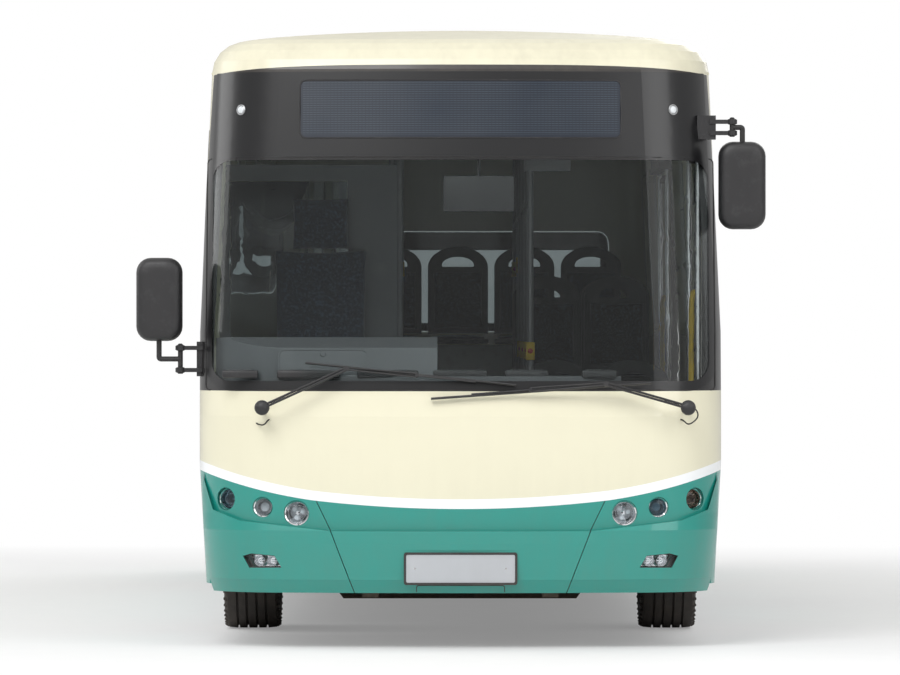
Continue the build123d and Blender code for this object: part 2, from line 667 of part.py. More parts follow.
with BuildPart() as floor:
    block(-HALF, HALF, FLOOR_FULL_Y, RISER_Y, LOW_FLOOR_Z - FLOOR_T, LOW_FLOOR_Z)
    block(-FLOOR_NOSE_X, FLOOR_NOSE_X, FLOOR_FRONT_Y, FLOOR_FULL_Y, LOW_FLOOR_Z - FLOOR_T, LOW_FLOOR_Z)
    block(-HALF, HALF, RISER_Y - FLOOR_T, RISER_Y, LOW_FLOOR_Z, HIGH_FLOOR_Z)
    block(-HALF, HALF, RISER_Y, BENCH_Y, HIGH_FLOOR_Z - FLOOR_T, HIGH_FLOOR_Z)
    block(-HALF, HALF, BENCH_Y - FLOOR_T, BENCH_Y, HIGH_FLOOR_Z, BENCH_FLOOR_Z)
    block(-HALF, HALF, BENCH_Y, BACK_Y, BENCH_FLOOR_Z - FLOOR_T, BENCH_FLOOR_Z)
    for step in (1, 2):
        start = RISER_Y - (3 - step) * STEP_RUN
        block(-STEP_X, STEP_X, start, RISER_Y - FLOOR_T, LOW_FLOOR_Z, LOW_FLOOR_Z + step * STEP_RISE)
    for name, y, half_y, x_in, z_floor in HOUSINGS:
        for side in (-1, 1):
            x0, x1 = sorted((side * x_in, side * HALF))
            block(x0, x1, y - half_y - HOUSING_T, y + half_y + HOUSING_T, z_floor - FLOOR_T, HOUSING_Z)
            x0, x1 = sorted((side * (x_in + HOUSING_T), side * (HALF + 9)))
            block(x0, x1, y - half_y, y + half_y, 0, HOUSING_Z - HOUSING_T, mode=Mode.SUBTRACT)
    x_in, y0, z_top = DRIVER_BOX
    block(-HALF, x_in, y0, AXLE_FRONT_Y - ARCH_R_FRONT - 10 - HOUSING_T, LOW_FLOOR_Z, z_top)
    block(-HALF, x_in - HOUSING_T, y0 + HOUSING_T, AXLE_FRONT_Y - ARCH_R_FRONT - 10 - 2 * HOUSING_T,
          LOW_FLOOR_Z, z_top - HOUSING_T, mode=Mode.SUBTRACT)
    add(CABIN, mode=Mode.INTERSECT)
save(floor, "floor")

# Frame: low rails under the low floor, high rails under the rear floor, and towers over the front springs
SPRING_X = 640.0
SPRING_R = 70.0
SPRING_TOP_Z = 620.0
RAIL_FRONT_Y = -4900.0
RAIL_REAR_Y = 5120.0
CROSS_LOW_Y = [-4850.0, -4300.0, -3650.0, -2240.0, -1500.0, -700.0, 100.0, 900.0]
CROSS_HIGH_Y = [1700.0, 3050.0, 3600.0, 5080.0]
CROSS_W = 70.0
CROSS_REACH = 1120.0
TOW_EYE_R = 21.0
TOW_LUG_W = 90.0
TOW_LUG_T = 30.0
ENGINE = (330.0, 3750.0, 5000.0, 345.0, 790.0)
ENGINE_MOUNT_Y = (4000.0, 4780.0)

with BuildPart() as chassis_frame:
    low_top = LOW_FLOOR_Z - FLOOR_T
    high_top = HIGH_FLOOR_Z - FLOOR_T
    for side in (-1, 1):
        x0, x1 = sorted((side * (RAIL_X - RAIL_W / 2), side * (RAIL_X + RAIL_W / 2)))
        block(x0, x1, RAIL_FRONT_Y, RISER_Y, LOW_RAIL_Z, low_top)
        block(x0, x1, RISER_Y, RISER_Y + RAIL_W, LOW_RAIL_Z, high_top)
        block(x0, x1, RISER_Y, RAIL_REAR_Y, HIGH_RAIL_Z, high_top)
        for y in ENGINE_MOUNT_Y:
            xe0, xe1 = sorted((side * ENGINE[0], side * (RAIL_X - RAIL_W / 2)))
            block(xe0, xe1, y - 40, y + 40, high_top - 150, high_top - 70)
    for y in CROSS_LOW_Y:
        block(-CROSS_REACH, CROSS_REACH, y, y + CROSS_W, LOW_RAIL_Z + 30, low_top)
    for y in CROSS_HIGH_Y:
        block(-RAIL_X, RAIL_X, y, y + CROSS_W, high_top - 60, high_top)
    for y, way in ((RAIL_FRONT_Y - 120, -1), (RAIL_REAR_Y, 1)):
        z = LOW_RAIL_Z + 40 if way < 0 else SKIRT_Z + 60
        block(-TOW_LUG_W / 2, TOW_LUG_W / 2, y, y + 170 if way < 0 else y + 52, z - TOW_LUG_T / 2, z + TOW_LUG_T / 2)
    block(-60, 60, RAIL_REAR_Y - 60, RAIL_REAR_Y, SKIRT_Z + 20, high_top)
    for side in (-1, 1):
        root_x = side * (FRONT_HOUSING_X + HOUSING_T + SEAM)
        tip_x = side * (SPRING_X + SPRING_R)
        block(*sorted((root_x, tip_x)), AXLE_FRONT_Y - SPRING_R, AXLE_FRONT_Y + SPRING_R,
              SPRING_TOP_Z, SPRING_TOP_Z + 30)
        for way in (-1, 1):
            y = AXLE_FRONT_Y + way * (SPRING_R - 6)
            with BuildSketch(Plane.XZ.offset(-y - 6)) as web:
                with BuildLine():
                    Polyline((root_x, SPRING_TOP_Z + 30), (root_x, SPRING_TOP_Z + 190), (tip_x, SPRING_TOP_Z + 30),
                             close=True)
                make_face()
            extrude(web.sketch, amount=12)
    with BuildSketch(Plane.XY.offset(LOW_RAIL_Z)):
        with Locations((0, RAIL_FRONT_Y - 75), (0, RAIL_REAR_Y + 24)):
            Circle(TOW_EYE_R)
    extrude(amount=HIGH_RAIL_Z - LOW_RAIL_Z, mode=Mode.SUBTRACT)
save(chassis_frame, "chassis_frame")

with BuildPart() as engine:
    block(-ENGINE[0], ENGINE[0], ENGINE[1], ENGINE[2], ENGINE[3], ENGINE[4])
    chamfer(engine.edges().filter_by(Axis.Y), 60)
save(engine, "engine")

# Front axle: a dropped beam between two kingpin bosses
BEAM_Z = 150.0
BEAM_H = 75.0
BEAM_W = 100.0
BEAM_LOW_X = 590.0
BOSS_R = 42.0
BOSS_H = 130.0
SPRING_SEAT_Z = 392.0
REAR_TUBE_R = 70.0
REAR_BEAM_X = 460.0
REAR_SPRING_SET = 330.0
REAR_SPRING_R = 85.0
DIFF_R = 150.0
HUB_TIP_X = 1085.0

with BuildPart() as axle_front:
    with BuildSketch(Plane.XZ.offset(-AXLE_FRONT_Y - BEAM_W / 2)):
        with BuildLine():
            rise_x = KINGPIN_X - BOSS_R - 25
            half_profile = [(BEAM_LOW_X, BEAM_Z), (rise_x, TYRE_R - BEAM_H / 2), (KINGPIN_X, TYRE_R - BEAM_H / 2),
                            (KINGPIN_X, TYRE_R + BEAM_H / 2), (rise_x, TYRE_R + BEAM_H / 2),
                            (BEAM_LOW_X, BEAM_Z + BEAM_H)]
            Polyline(*half_profile, *[(-x, z) for x, z in reversed(half_profile)], close=True)
        make_face()
    extrude(amount=BEAM_W)
    for side in (-1, 1):
        with Locations((side * KINGPIN_X, AXLE_FRONT_Y, TYRE_R)):
            Box(BOSS_R * 2 + 60, BEAM_W + 2, BOSS_H * 2, mode=Mode.SUBTRACT)
            Cylinder(BOSS_R, BOSS_H)
        x0, x1 = sorted((side * (KINGPIN_X - BOSS_R - 35), side * KINGPIN_X))
        block(x0, x1, AXLE_FRONT_Y - 34, AXLE_FRONT_Y + 34, TYRE_R - BEAM_H / 2, TYRE_R + BEAM_H / 2)
        with Locations((side * KINGPIN_X, AXLE_FRONT_Y, TYRE_R)):
            Cylinder(PIN_R + RUN, BOSS_H + 2, mode=Mode.SUBTRACT)
        block(side * SPRING_X - 70, side * SPRING_X + 70, AXLE_FRONT_Y - 70, AXLE_FRONT_Y + 70,
              SPRING_SEAT_Z - 110, SPRING_SEAT_Z)
save(axle_front, "axle_front")

with BuildPart() as axle_rear:
    rod((-HUB_TIP_X, AXLE_REAR_Y, TYRE_R), (HUB_TIP_X, AXLE_REAR_Y, TYRE_R), SPINDLE_R)
    rod((-REAR_HOUSING_X, AXLE_REAR_Y, TYRE_R), (REAR_HOUSING_X, AXLE_REAR_Y, TYRE_R), REAR_TUBE_R)
    rod((-150, AXLE_REAR_Y, TYRE_R), (150, AXLE_REAR_Y, TYRE_R), DIFF_R)
    rod((0, AXLE_REAR_Y, TYRE_R), (0, AXLE_REAR_Y + 330, TYRE_R), 80)
    rod((0, AXLE_REAR_Y + 330, TYRE_R), (0, ENGINE[1], TYRE_R), 45)
    for side in (-1, 1):
        x0, x1 = sorted((side * (REAR_BEAM_X - 60), side * REAR_BEAM_X))
        block(x0, x1, AXLE_REAR_Y - 430, AXLE_REAR_Y + 430, TYRE_R - REAR_TUBE_R - 40, TYRE_R - REAR_TUBE_R + 25)
save(axle_rear, "axle_rear")

with BuildPart() as air_springs:
    for side in (-1, 1):
        rod((side * SPRING_X, AXLE_FRONT_Y, SPRING_SEAT_Z), (side * SPRING_X, AXLE_FRONT_Y, SPRING_TOP_Z), SPRING_R)
        for way in (-1, 1):
            x = side * (REAR_BEAM_X - 30)
            y = AXLE_REAR_Y + way * REAR_SPRING_SET
            rod((x, y, TYRE_R - REAR_TUBE_R + 25), (x, y, HIGH_RAIL_Z), REAR_SPRING_R)
save(air_springs, "air_springs")

# Steering knuckles: two lugs round the boss, a plate, and the spindle
LUG_T = 28.0
PLATE_IN = 55.0
PLATE_OUT = 75.0
SPINDLE_TIP = 94.0
LUG_Z = BOSS_H / 2 + RUN

for side_name, side in (("left", LEFT), ("right", RIGHT)):
    with BuildPart() as knuckle:
        for way in (-1, 1):
            z_mid = TYRE_R + way * (LUG_Z + LUG_T / 2)
            with Locations((side * KINGPIN_X, AXLE_FRONT_Y, z_mid)):
                Cylinder(BOSS_R, LUG_T)
            x0, x1 = sorted((side * KINGPIN_X, side * (KINGPIN_X + PLATE_IN)))
            block(x0, x1, AXLE_FRONT_Y - BOSS_R, AXLE_FRONT_Y + BOSS_R, z_mid - LUG_T / 2, z_mid + LUG_T / 2)
        with Locations((side * KINGPIN_X, AXLE_FRONT_Y, TYRE_R)):
            Cylinder(PIN_R, BOSS_H + 2 * LUG_T)
        x0, x1 = sorted((side * (KINGPIN_X + PLATE_IN), side * (KINGPIN_X + PLATE_OUT)))
        tall = LUG_Z + LUG_T
        block(x0, x1, AXLE_FRONT_Y - BOSS_R - 30, AXLE_FRONT_Y + BOSS_R + 30, TYRE_R - tall, TYRE_R + tall)
        rod((side * (KINGPIN_X + PLATE_OUT), AXLE_FRONT_Y, TYRE_R),
            (side * (TRACK / 2 + SPINDLE_TIP), AXLE_FRONT_Y, TYRE_R), SPINDLE_R)
    save(knuckle, f"knuckle_{side_name}")

# Tyre section: distance from the middle of the tyre, radius
BEAD_HALF = 106.0
TYRE_SECTION = [(-TYRE_W / 2, RIM_R), (-TYRE_W / 2, TYRE_R), (TYRE_W / 2, TYRE_R), (TYRE_W / 2, RIM_R)]
RIM_SEAT_R = RIM_R - 0.4
HUB_BORE_R = SPINDLE_R + RUN

# Rim sections: distance outwards from the front wheel's middle, radius
FRONT_RIM = [(-BEAD_HALF, RIM_SEAT_R), (BEAD_HALF, RIM_SEAT_R), (BEAD_HALF, 256.0), (60.0, 256.0),
             (60.0, 112.0), (130.0, 112.0), (130.0, 0.0), (SPINDLE_TIP + RUN, 0.0),
             (SPINDLE_TIP + RUN, HUB_BORE_R), (-60.0, HUB_BORE_R), (-60.0, 262.0), (-BEAD_HALF, 262.0)]
TWIN_OUTER_X = TRACK / 2 + 9
TWIN_INNER_X = TWIN_OUTER_X - TWIN_SPACING
TWIN_TIP = HUB_TIP_X - TWIN_OUTER_X

# The twin rims, distance outwards from the outer wheel's middle
TWIN_RIM = [(-TWIN_SPACING - BEAD_HALF, RIM_SEAT_R), (BEAD_HALF, RIM_SEAT_R), (BEAD_HALF, 256.0),
            (-52.0, 256.0), (-52.0, 112.0), (64.0, 112.0), (64.0, 0.0), (TWIN_TIP + RUN, 0.0),
            (TWIN_TIP + RUN, HUB_BORE_R), (-TWIN_SPACING - 80.0, HUB_BORE_R), (-TWIN_SPACING - 80.0, 262.0),
            (-TWIN_SPACING - BEAD_HALF, 262.0)]


def wheel_ring(section, x_mid, y, side):
    """A wheel piece turned about its axle."""
    with BuildSketch(Plane.XY.offset(TYRE_R)) as half:
        with BuildLine() as edge:
            Polyline(*[(x_mid + side * x, y + r) for x, r in section], close=True)
        make_face(edge.edges())
    revolve(half.sketch, axis=Axis((0, y, TYRE_R), (1, 0, 0)))


for side_name, side in (("left", LEFT), ("right", RIGHT)):
    with BuildPart() as tyre:
        wheel_ring(TYRE_SECTION, side * TRACK / 2, AXLE_FRONT_Y, side)
    save(tyre, f"tyre_front_{side_name}")
    with BuildPart() as rim:
        wheel_ring(FRONT_RIM, side * TRACK / 2, AXLE_FRONT_Y, side)
    save(rim, f"rim_front_{side_name}")
    with BuildPart() as twin_tyres:
        for x in (TWIN_OUTER_X, TWIN_INNER_X):
            wheel_ring(TYRE_SECTION, side * x, AXLE_REAR_Y, side)
    save(twin_tyres, f"tyres_rear_{side_name}")
    with BuildPart() as twin_rims:
        wheel_ring(TWIN_RIM, side * TWIN_OUTER_X, AXLE_REAR_Y, side)
    save(twin_rims, f"rims_rear_{side_name}")

# Doors: two leaves a doorway, each carried at its middle by arms that pass under and over it
POST_X = LEAF_X - LEAF_T - LEAF_STANDOFF
LEAF_Z = (DOOR_Z[0] + 10, DOOR_Z[1] - 10)
LEAF_FRAME = 55.0
KICK_H = 260.0
ARM_T = 12.0
ARM_GAP = 5.0
ARM_Z = (LEAF_Z[0] - ARM_GAP - ARM_T, LEAF_Z[1] + ARM_GAP)
LUG_H = 24.0
ARM_W = 30.0
ARM_PIN_R = 8.0
ROLLER_R = 10.0
ROLLER_SET = 30.0
GEAR_BOX_Z = (DOOR_Z[1] + 20, DOOR_Z[1] + 170)
GEAR_SLOT = 36.0
GEAR_SLOT_D = 30.0
DOOR_PANE_T = 8.0

LEAVES = []
for door_name, y0, y1 in DOORWAYS:
    middle = (y0 + y1) / 2
    LEAVES.append((f"{door_name}_fore", y0, middle, 1))
    LEAVES.append((f"{door_name}_aft", y1, middle, -1))

for leaf_name, jamb, middle, way in LEAVES:
    edge_y = jamb + way * DOOR_JAMB_GAP
    lead_y = middle - way * DOOR_MEET_GAP / 2
    roller_y = lead_y - way * ROLLER_SET
    post_y = jamb - way * POST_BEHIND
    arm_y = (post_y + roller_y) / 2
    low_y, high_y = sorted((edge_y, lead_y))
    with BuildPart() as door_leaf:
        block(LEAF_X - LEAF_T, LEAF_X, low_y, high_y, *LEAF_Z)
        block(0, WIDTH, low_y + LEAF_FRAME, high_y - LEAF_FRAME, LEAF_Z[0] + KICK_H, LEAF_Z[1] - LEAF_FRAME,
              mode=Mode.SUBTRACT)
        for z_arm, lug_z in zip(ARM_Z, (LEAF_Z[0], LEAF_Z[1] - LUG_H)):
            block(POST_X - ARM_PIN_R - 4, LEAF_X - LEAF_T, arm_y - 14, arm_y + 14, lug_z, lug_z + LUG_H)
            rod((POST_X, arm_y, min(lug_z, z_arm)), (POST_X, arm_y, max(lug_z + LUG_H, z_arm + ARM_T)), ARM_PIN_R)
        block(POST_X - ROLLER_R, LEAF_X - LEAF_T, roller_y - 12, roller_y + 12, LEAF_Z[1] - 22, LEAF_Z[1] - 6)
        rod((POST_X, roller_y, LEAF_Z[1] - 6), (POST_X, roller_y, GEAR_BOX_Z[0] + GEAR_SLOT_D - 8), ROLLER_R)
    save(door_leaf, f"door_leaf_{leaf_name}")
    with BuildPart() as door_glass:
        mid_x = LEAF_X - LEAF_T / 2
        block(mid_x - DOOR_PANE_T / 2, mid_x + DOOR_PANE_T / 2, low_y + LEAF_FRAME + SEAM, high_y - LEAF_FRAME - SEAM,
              LEAF_Z[0] + KICK_H + SEAM, LEAF_Z[1] - LEAF_FRAME - SEAM)
    save(door_glass, f"door_glass_{leaf_name}")
    with BuildPart() as door_post:
        rod((POST_X, post_y, LOW_FLOOR_Z + SEAM), (POST_X, post_y, GEAR_BOX_Z[0] - SEAM), POST_R)
        for z_arm in ARM_Z:
            a0, a1 = sorted((post_y, arm_y))
            block(POST_X - ARM_W / 2, POST_X + ARM_W / 2, a0, a1, z_arm, z_arm + ARM_T)
            with Locations((POST_X, arm_y, z_arm + ARM_T / 2)):
                Cylinder(ARM_W / 2, ARM_T)
                Cylinder(ARM_PIN_R + RUN, ARM_T + 2, mode=Mode.SUBTRACT)
    save(door_post, f"door_post_{leaf_name}")

with BuildPart() as door_gear:
    for door_name, y0, y1 in DOORWAYS:
        gear_end = POST_BEHIND + POST_R + 10
        block(POST_X - 60, HALF, y0 - gear_end, y1 + gear_end, *GEAR_BOX_Z)
        block(POST_X - GEAR_SLOT / 2, POST_X + GEAR_SLOT / 2, y0 + GEAR_SLOT, y1 - GEAR_SLOT,
              GEAR_BOX_Z[0] - 1, GEAR_BOX_Z[0] + GEAR_SLOT_D, mode=Mode.SUBTRACT)
    add(CABIN, mode=Mode.INTERSECT)
save(door_gear, "door_gear")

# Roof hatches: flat lids on the roof, hinged along their front edges
for hatch_name, hatch_y in HATCHES:
    lid_z = HATCH_LID_Z
    reach_x = HATCH_HALF_X + HATCH_LAP
    reach_y = HATCH_HALF_Y + HATCH_LAP
    with BuildPart() as roof_hatch:
        block(-reach_x, reach_x, hatch_y - reach_y, hatch_y + reach_y, lid_z, lid_z + HATCH_T)
        fillet(roof_hatch.edges().filter_by(Axis.Z), 40)
        block(-HATCH_HALF_X + 12, HATCH_HALF_X - 12, hatch_y - HATCH_HALF_Y + 12, hatch_y + HATCH_HALF_Y - 12,
              lid_z - 18, lid_z)
        for x in (-220, 220):
            rod((x - 40, hatch_y - reach_y - HATCH_HINGE_R + 2, lid_z + HATCH_HINGE_R),
                (x + 40, hatch_y - reach_y - HATCH_HINGE_R + 2, lid_z + HATCH_HINGE_R), HATCH_HINGE_R)
    save(roof_hatch, f"roof_hatch_{hatch_name}")

for wiper_name, pivot_x, arm_points, blade_ends in WIPERS:
    with BuildPart() as wiper:
        arm_lift = WIPER_CLEAR + BLADE_D + ARM_ROD_R + 2
        cap_low = on_glass(pivot_x, WIPER_Z, arm_lift - 16)
        cap_high = on_glass(pivot_x, WIPER_Z, arm_lift + 12)
        rod(cap_low, cap_high, WIPER_CAP_R)
        shaft_in = on_glass(pivot_x, WIPER_Z, -130)
        rod(shaft_in, cap_low, WIPER_SHAFT_R)
        elbow = on_glass(*arm_points[0], arm_lift)
        tip = on_glass(*arm_points[1], arm_lift)
        rod(on_glass(pivot_x, WIPER_Z, arm_lift), elbow, 10)
        rod(elbow, tip, ARM_ROD_R)
        rod(on_glass(*arm_points[1], WIPER_CLEAR + BLADE_D - 2), on_glass(*arm_points[1], arm_lift + 8), 10)
        start = on_glass(*blade_ends[0], WIPER_CLEAR)
        end = on_glass(*blade_ends[1], WIPER_CLEAR)
        run = end - start
        with BuildSketch(Plane(origin=start, x_dir=wiper_plane.z_dir, z_dir=run)) as blade:
            with Locations((BLADE_D / 2, 0)):
                Rectangle(BLADE_D, 2 * BLADE_H)
        extrude(blade.sketch, amount=run.length)
    save(wiper, f"wiper_{wiper_name}")

# Mirrors: name, side, pivot place, head centre, head size, heights of the bracket's two eyes
MIRRORS = [
    ("right", RIGHT, (1340.0, -4800.0), (1442.0, 1656.0), (221.0, 399.0), (1318.0, 1424.0)),
    ("left", LEFT, (1300.0, -4800.0), (1349.0, 2202.0), (226.0, 420.0), (2452.0, 2506.0)),
]
MIRROR_D = 105.0
MIRROR_R = 75.0
MIRROR_TUBE_R = 13.0
EYE_R = 24.0
EYE_T = 20.0
FOLD_PIN_R = 12.0

with BuildPart() as mirror_brackets:
    for mirror_name, side, pivot, head, size, eyes in MIRRORS:
        plate_x = pivot[0] - 78
        block(*sorted((side * (plate_x - 90), side * plate_x)), pivot[1] - 5, pivot[1] + 70, eyes[0] - 30, eyes[1] + 30)
        for z in eyes:
            block(*sorted((side * (plate_x - 30), side * pivot[0])), pivot[1] - 14, pivot[1] + 14,
                  z - EYE_T / 2, z + EYE_T / 2)
            with Locations((side * pivot[0], pivot[1], z)):
                Cylinder(EYE_R, EYE_T)
                Cylinder(FOLD_PIN_R + RUN, EYE_T + 2, mode=Mode.SUBTRACT)
    add(OVER, mode=Mode.SUBTRACT)
save(mirror_brackets, "mirror_brackets")

for mirror_name, side, pivot, head, size, eyes in MIRRORS:
    with BuildPart() as mirror_head:
        with BuildSketch(Plane.XZ.offset(-pivot[1] + MIRROR_D / 2)):
            with Locations((side * head[0], head[1])):
                RectangleRounded(size[0], size[1], MIRROR_R)
        extrude(amount=-MIRROR_D)
        chamfer(mirror_head.faces().sort_by(Axis.Y)[0].edges(), 25)
        rod((side * pivot[0], pivot[1], eyes[0] - EYE_T / 2 - 8), (side * pivot[0], pivot[1], eyes[1] + EYE_T / 2 + 8),
            FOLD_PIN_R)
        arm_z = sum(eyes) / 2
        inside_z = head[1] + (size[1] / 2 - 20) * (-1 if head[1] > arm_z else 1)
        rod((side * pivot[0], pivot[1], arm_z), (side * (head[0] + MIRROR_TUBE_R), pivot[1], arm_z), MIRROR_TUBE_R)
        rod((side * head[0], pivot[1], arm_z), (side * head[0], pivot[1], inside_z), MIRROR_TUBE_R)
    save(mirror_head, f"mirror_{mirror_name}")

# Dashboard: a lining behind the front panel, a shelf under the windscreen and a hump before the driver
DASH_Z = 1290.0
HUMP_Z = 1475.0
HUMP_X = (-1165.0, -110.0)
DASH_END_X = 760.0
LINING_Z = 790.0
SHELF_PROFILE = [(-5260.0, 1170.0), (-5260.0, DASH_Z), (-4900.0, DASH_Z), (-4880.0, 1170.0)]
HUMP_PROFILE = [(-5110.0, DASH_Z), (-5050.0, 1425.0), (-4930.0, HUMP_Z), (-4790.0, 1468.0),
                (-4745.0, 1330.0), (-4770.0, 1090.0), (-4860.0, 1000.0), (-5090.0, 1000.0)]

with BuildPart() as dashboard:
    block(-HALF, DASH_END_X, -5125, -5075, LINING_Z, 1180)
    with BuildSketch(Plane.YZ.offset(-HALF)):
        with BuildLine():
            Polyline(*SHELF_PROFILE, close=True)
        make_face()
    extrude(amount=HALF + DASH_END_X)
    with BuildSketch(Plane.YZ.offset(HUMP_X[0])):
        with BuildLine():
            Polyline(*HUMP_PROFILE, close=True)
        make_face()
    extrude(amount=HUMP_X[1] - HUMP_X[0])
    add(CABIN, mode=Mode.INTERSECT)
    for wiper_name, pivot_x, arm_points, blade_ends in WIPERS:
        rod(on_glass(pivot_x, WIPER_Z, -200), on_glass(pivot_x, WIPER_Z, 60), WIPER_SHAFT_R + GAP, mode=Mode.SUBTRACT)
save(dashboard, "dashboard")

# Driver's place
DRIVER_X = -690.0
DRIVER_FLOOR_Z = DRIVER_BOX[2]
CUSHION_Z = 1150.0
SEAT_FRONT_Y = -4230.0
SEAT_BACK_Y = -3790.0
WHEEL_CENTER = (DRIVER_X, -4490.0, 1300.0)
WHEEL_LEAN = 32.0
WHEEL_R = 225.0
WHEEL_RIM_R = 12.0
COLUMN_R = 28.0
COLUMN_LENGTH = 330.0
wheel_plane = Plane(origin=WHEEL_CENTER, x_dir=(1, 0, 0), z_dir=(0, sin(radians(WHEEL_LEAN)), cos(radians(WHEEL_LEAN))))

with BuildPart() as steering_wheel:
    with BuildSketch(Plane(origin=wheel_plane.origin, x_dir=(1, 0, 0), z_dir=-wheel_plane.y_dir)):
        with Locations((WHEEL_R, 0)):
            Rectangle(2 * WHEEL_RIM_R, 2 * WHEEL_RIM_R)
    revolve(axis=Axis(wheel_plane.origin, wheel_plane.z_dir))
    with BuildSketch(wheel_plane.offset(-45)):
        Circle(55)
    extrude(amount=40)
    for turn in (0, 180, 270):
        way = Vector(cos(radians(turn)), sin(radians(turn)))
        rod(wheel_plane.from_local_coords(way * 40 - Vector(0, 0, 25)),
            wheel_plane.from_local_coords(way * (WHEEL_R - 4)), 9)
save(steering_wheel, "steering_wheel")

with BuildPart() as driver_fittings:
    with BuildSketch(wheel_plane.offset(-45 - RUN)):
        Circle(COLUMN_R)
    extrude(amount=-COLUMN_LENGTH)
    foot = wheel_plane.from_local_coords(Vector(0, 0, -COLUMN_LENGTH))
    block(DRIVER_X - 70, DRIVER_X + 70, foot.Y - 120, foot.Y + 60, DRIVER_FLOOR_Z, foot.Z + 40)
    block(DRIVER_X - 190, DRIVER_X + 190, SEAT_FRONT_Y + 60, SEAT_BACK_Y - 20, DRIVER_FLOOR_Z, CUSHION_Z - SEAM)
save(driver_fittings, "driver_fittings")

with BuildPart() as driver_cushions:
    block(DRIVER_X - 240, DRIVER_X + 240, SEAT_FRONT_Y, SEAT_BACK_Y - 10, CUSHION_Z, CUSHION_Z + 120)
    block(DRIVER_X - 230, DRIVER_X + 230, SEAT_BACK_Y - 10, SEAT_BACK_Y + 100, CUSHION_Z, CUSHION_Z + 760)
    block(DRIVER_X - 140, DRIVER_X + 140, SEAT_BACK_Y + 10, SEAT_BACK_Y + 100, CUSHION_Z + 760, CUSHION_Z + 1020)
save(driver_cushions, "driver_cushions")

PARTITION_Y = -3640.0
PARTITION_T = 20.0
PARTITION_X = -300.0
with BuildPart() as driver_partition:
    block(-HALF, PARTITION_X, PARTITION_Y, PARTITION_Y + PARTITION_T, DRIVER_FLOOR_Z, 2330)
    block(-1150, PARTITION_X - 260, PARTITION_Y - 9, PARTITION_Y + 29, 1450, 2250, mode=Mode.SUBTRACT)
    rod((PARTITION_X, PARTITION_Y + 10, DRIVER_FLOOR_Z), (PARTITION_X, PARTITION_Y + 10, ROOF_Z), 16)
    add(CABIN, mode=Mode.INTERSECT)
save(driver_partition, "driver_partition")

# Passenger seats in pairs: side, front of the cushion, floor
SEAT_W = 395.0
SEAT_X = (520.0, 925.0)
SEAT_CUSHION_D = 400.0
SEAT_CUSHION_Z = 430.0
SEAT_BACK_Z = 1000.0
SEAT_BACK_T = 55.0
SEAT_BEAM = 50.0
PEDESTAL_X = (400.0, 490.0)
SEAT_ROWS = [
    (RIGHT, -2050.0, LOW_FLOOR_Z), (RIGHT, -1280.0, LOW_FLOOR_Z), (RIGHT, -510.0, LOW_FLOOR_Z),
    (RIGHT, 260.0, LOW_FLOOR_Z), (LEFT, -2050.0, LOW_FLOOR_Z), (LEFT, -1280.0, LOW_FLOOR_Z),
    (RIGHT, 1560.0, HIGH_FLOOR_Z), (RIGHT, 2330.0, HIGH_FLOOR_Z), (RIGHT, 3100.0, HIGH_FLOOR_Z),
    (LEFT, 1560.0, HIGH_FLOOR_Z), (LEFT, 2330.0, HIGH_FLOOR_Z), (LEFT, 3100.0, HIGH_FLOOR_Z),
]
BENCH_SEATS_X = [-840.0, -420.0, 0.0, 420.0, 840.0]
BENCH_SEAT_Y = 4560.0


def seat(x, y, z_floor):
    """One seat: cushion and a back with an arched top."""
    z = z_floor + SEAT_CUSHION_Z
    block(x - SEAT_W / 2, x + SEAT_W / 2, y, y + SEAT_CUSHION_D + SEAT_BACK_T, z - 60, z)
    half = SEAT_W / 2
    top = z_floor + SEAT_BACK_Z
    with BuildSketch(Plane.XZ.offset(-y - SEAT_CUSHION_D - SEAT_BACK_T)) as back:
        with BuildLine() as edge:
            Polyline((x + half, top - 110), (x + half, z), (x - half, z), (x - half, top - 110))
            ThreePointArc((x - half, top - 110), (x, top), (x + half, top - 110))
        make_face(edge.edges())
    extrude(back.sketch, amount=SEAT_BACK_T)


with BuildPart() as passenger_seats:
    for side, y, z_floor in SEAT_ROWS:
        for x in SEAT_X:
            seat(side * x, y, z_floor)
        z = z_floor + SEAT_CUSHION_Z - 60
        block(*sorted((side * PEDESTAL_X[0], side * (SEAT_X[1] + SEAT_W / 2))), y + 170, y + 170 + SEAT_BEAM,
              z - SEAT_BEAM, z)
        block(*sorted((side * PEDESTAL_X[0], side * PEDESTAL_X[1])), y + 100, y + 340, z_floor, z)
    for x in BENCH_SEATS_X:
        seat(x, BENCH_SEAT_Y, BENCH_FLOOR_Z)
    bench_end = BENCH_SEATS_X[-1] + SEAT_W / 2
    bench_z = BENCH_FLOOR_Z + SEAT_CUSHION_Z - 60
    block(-bench_end, bench_end, BENCH_SEAT_Y + 20, BENCH_SEAT_Y + SEAT_CUSHION_D, BENCH_FLOOR_Z, bench_z)
save(passenger_seats, "passenger_seats")

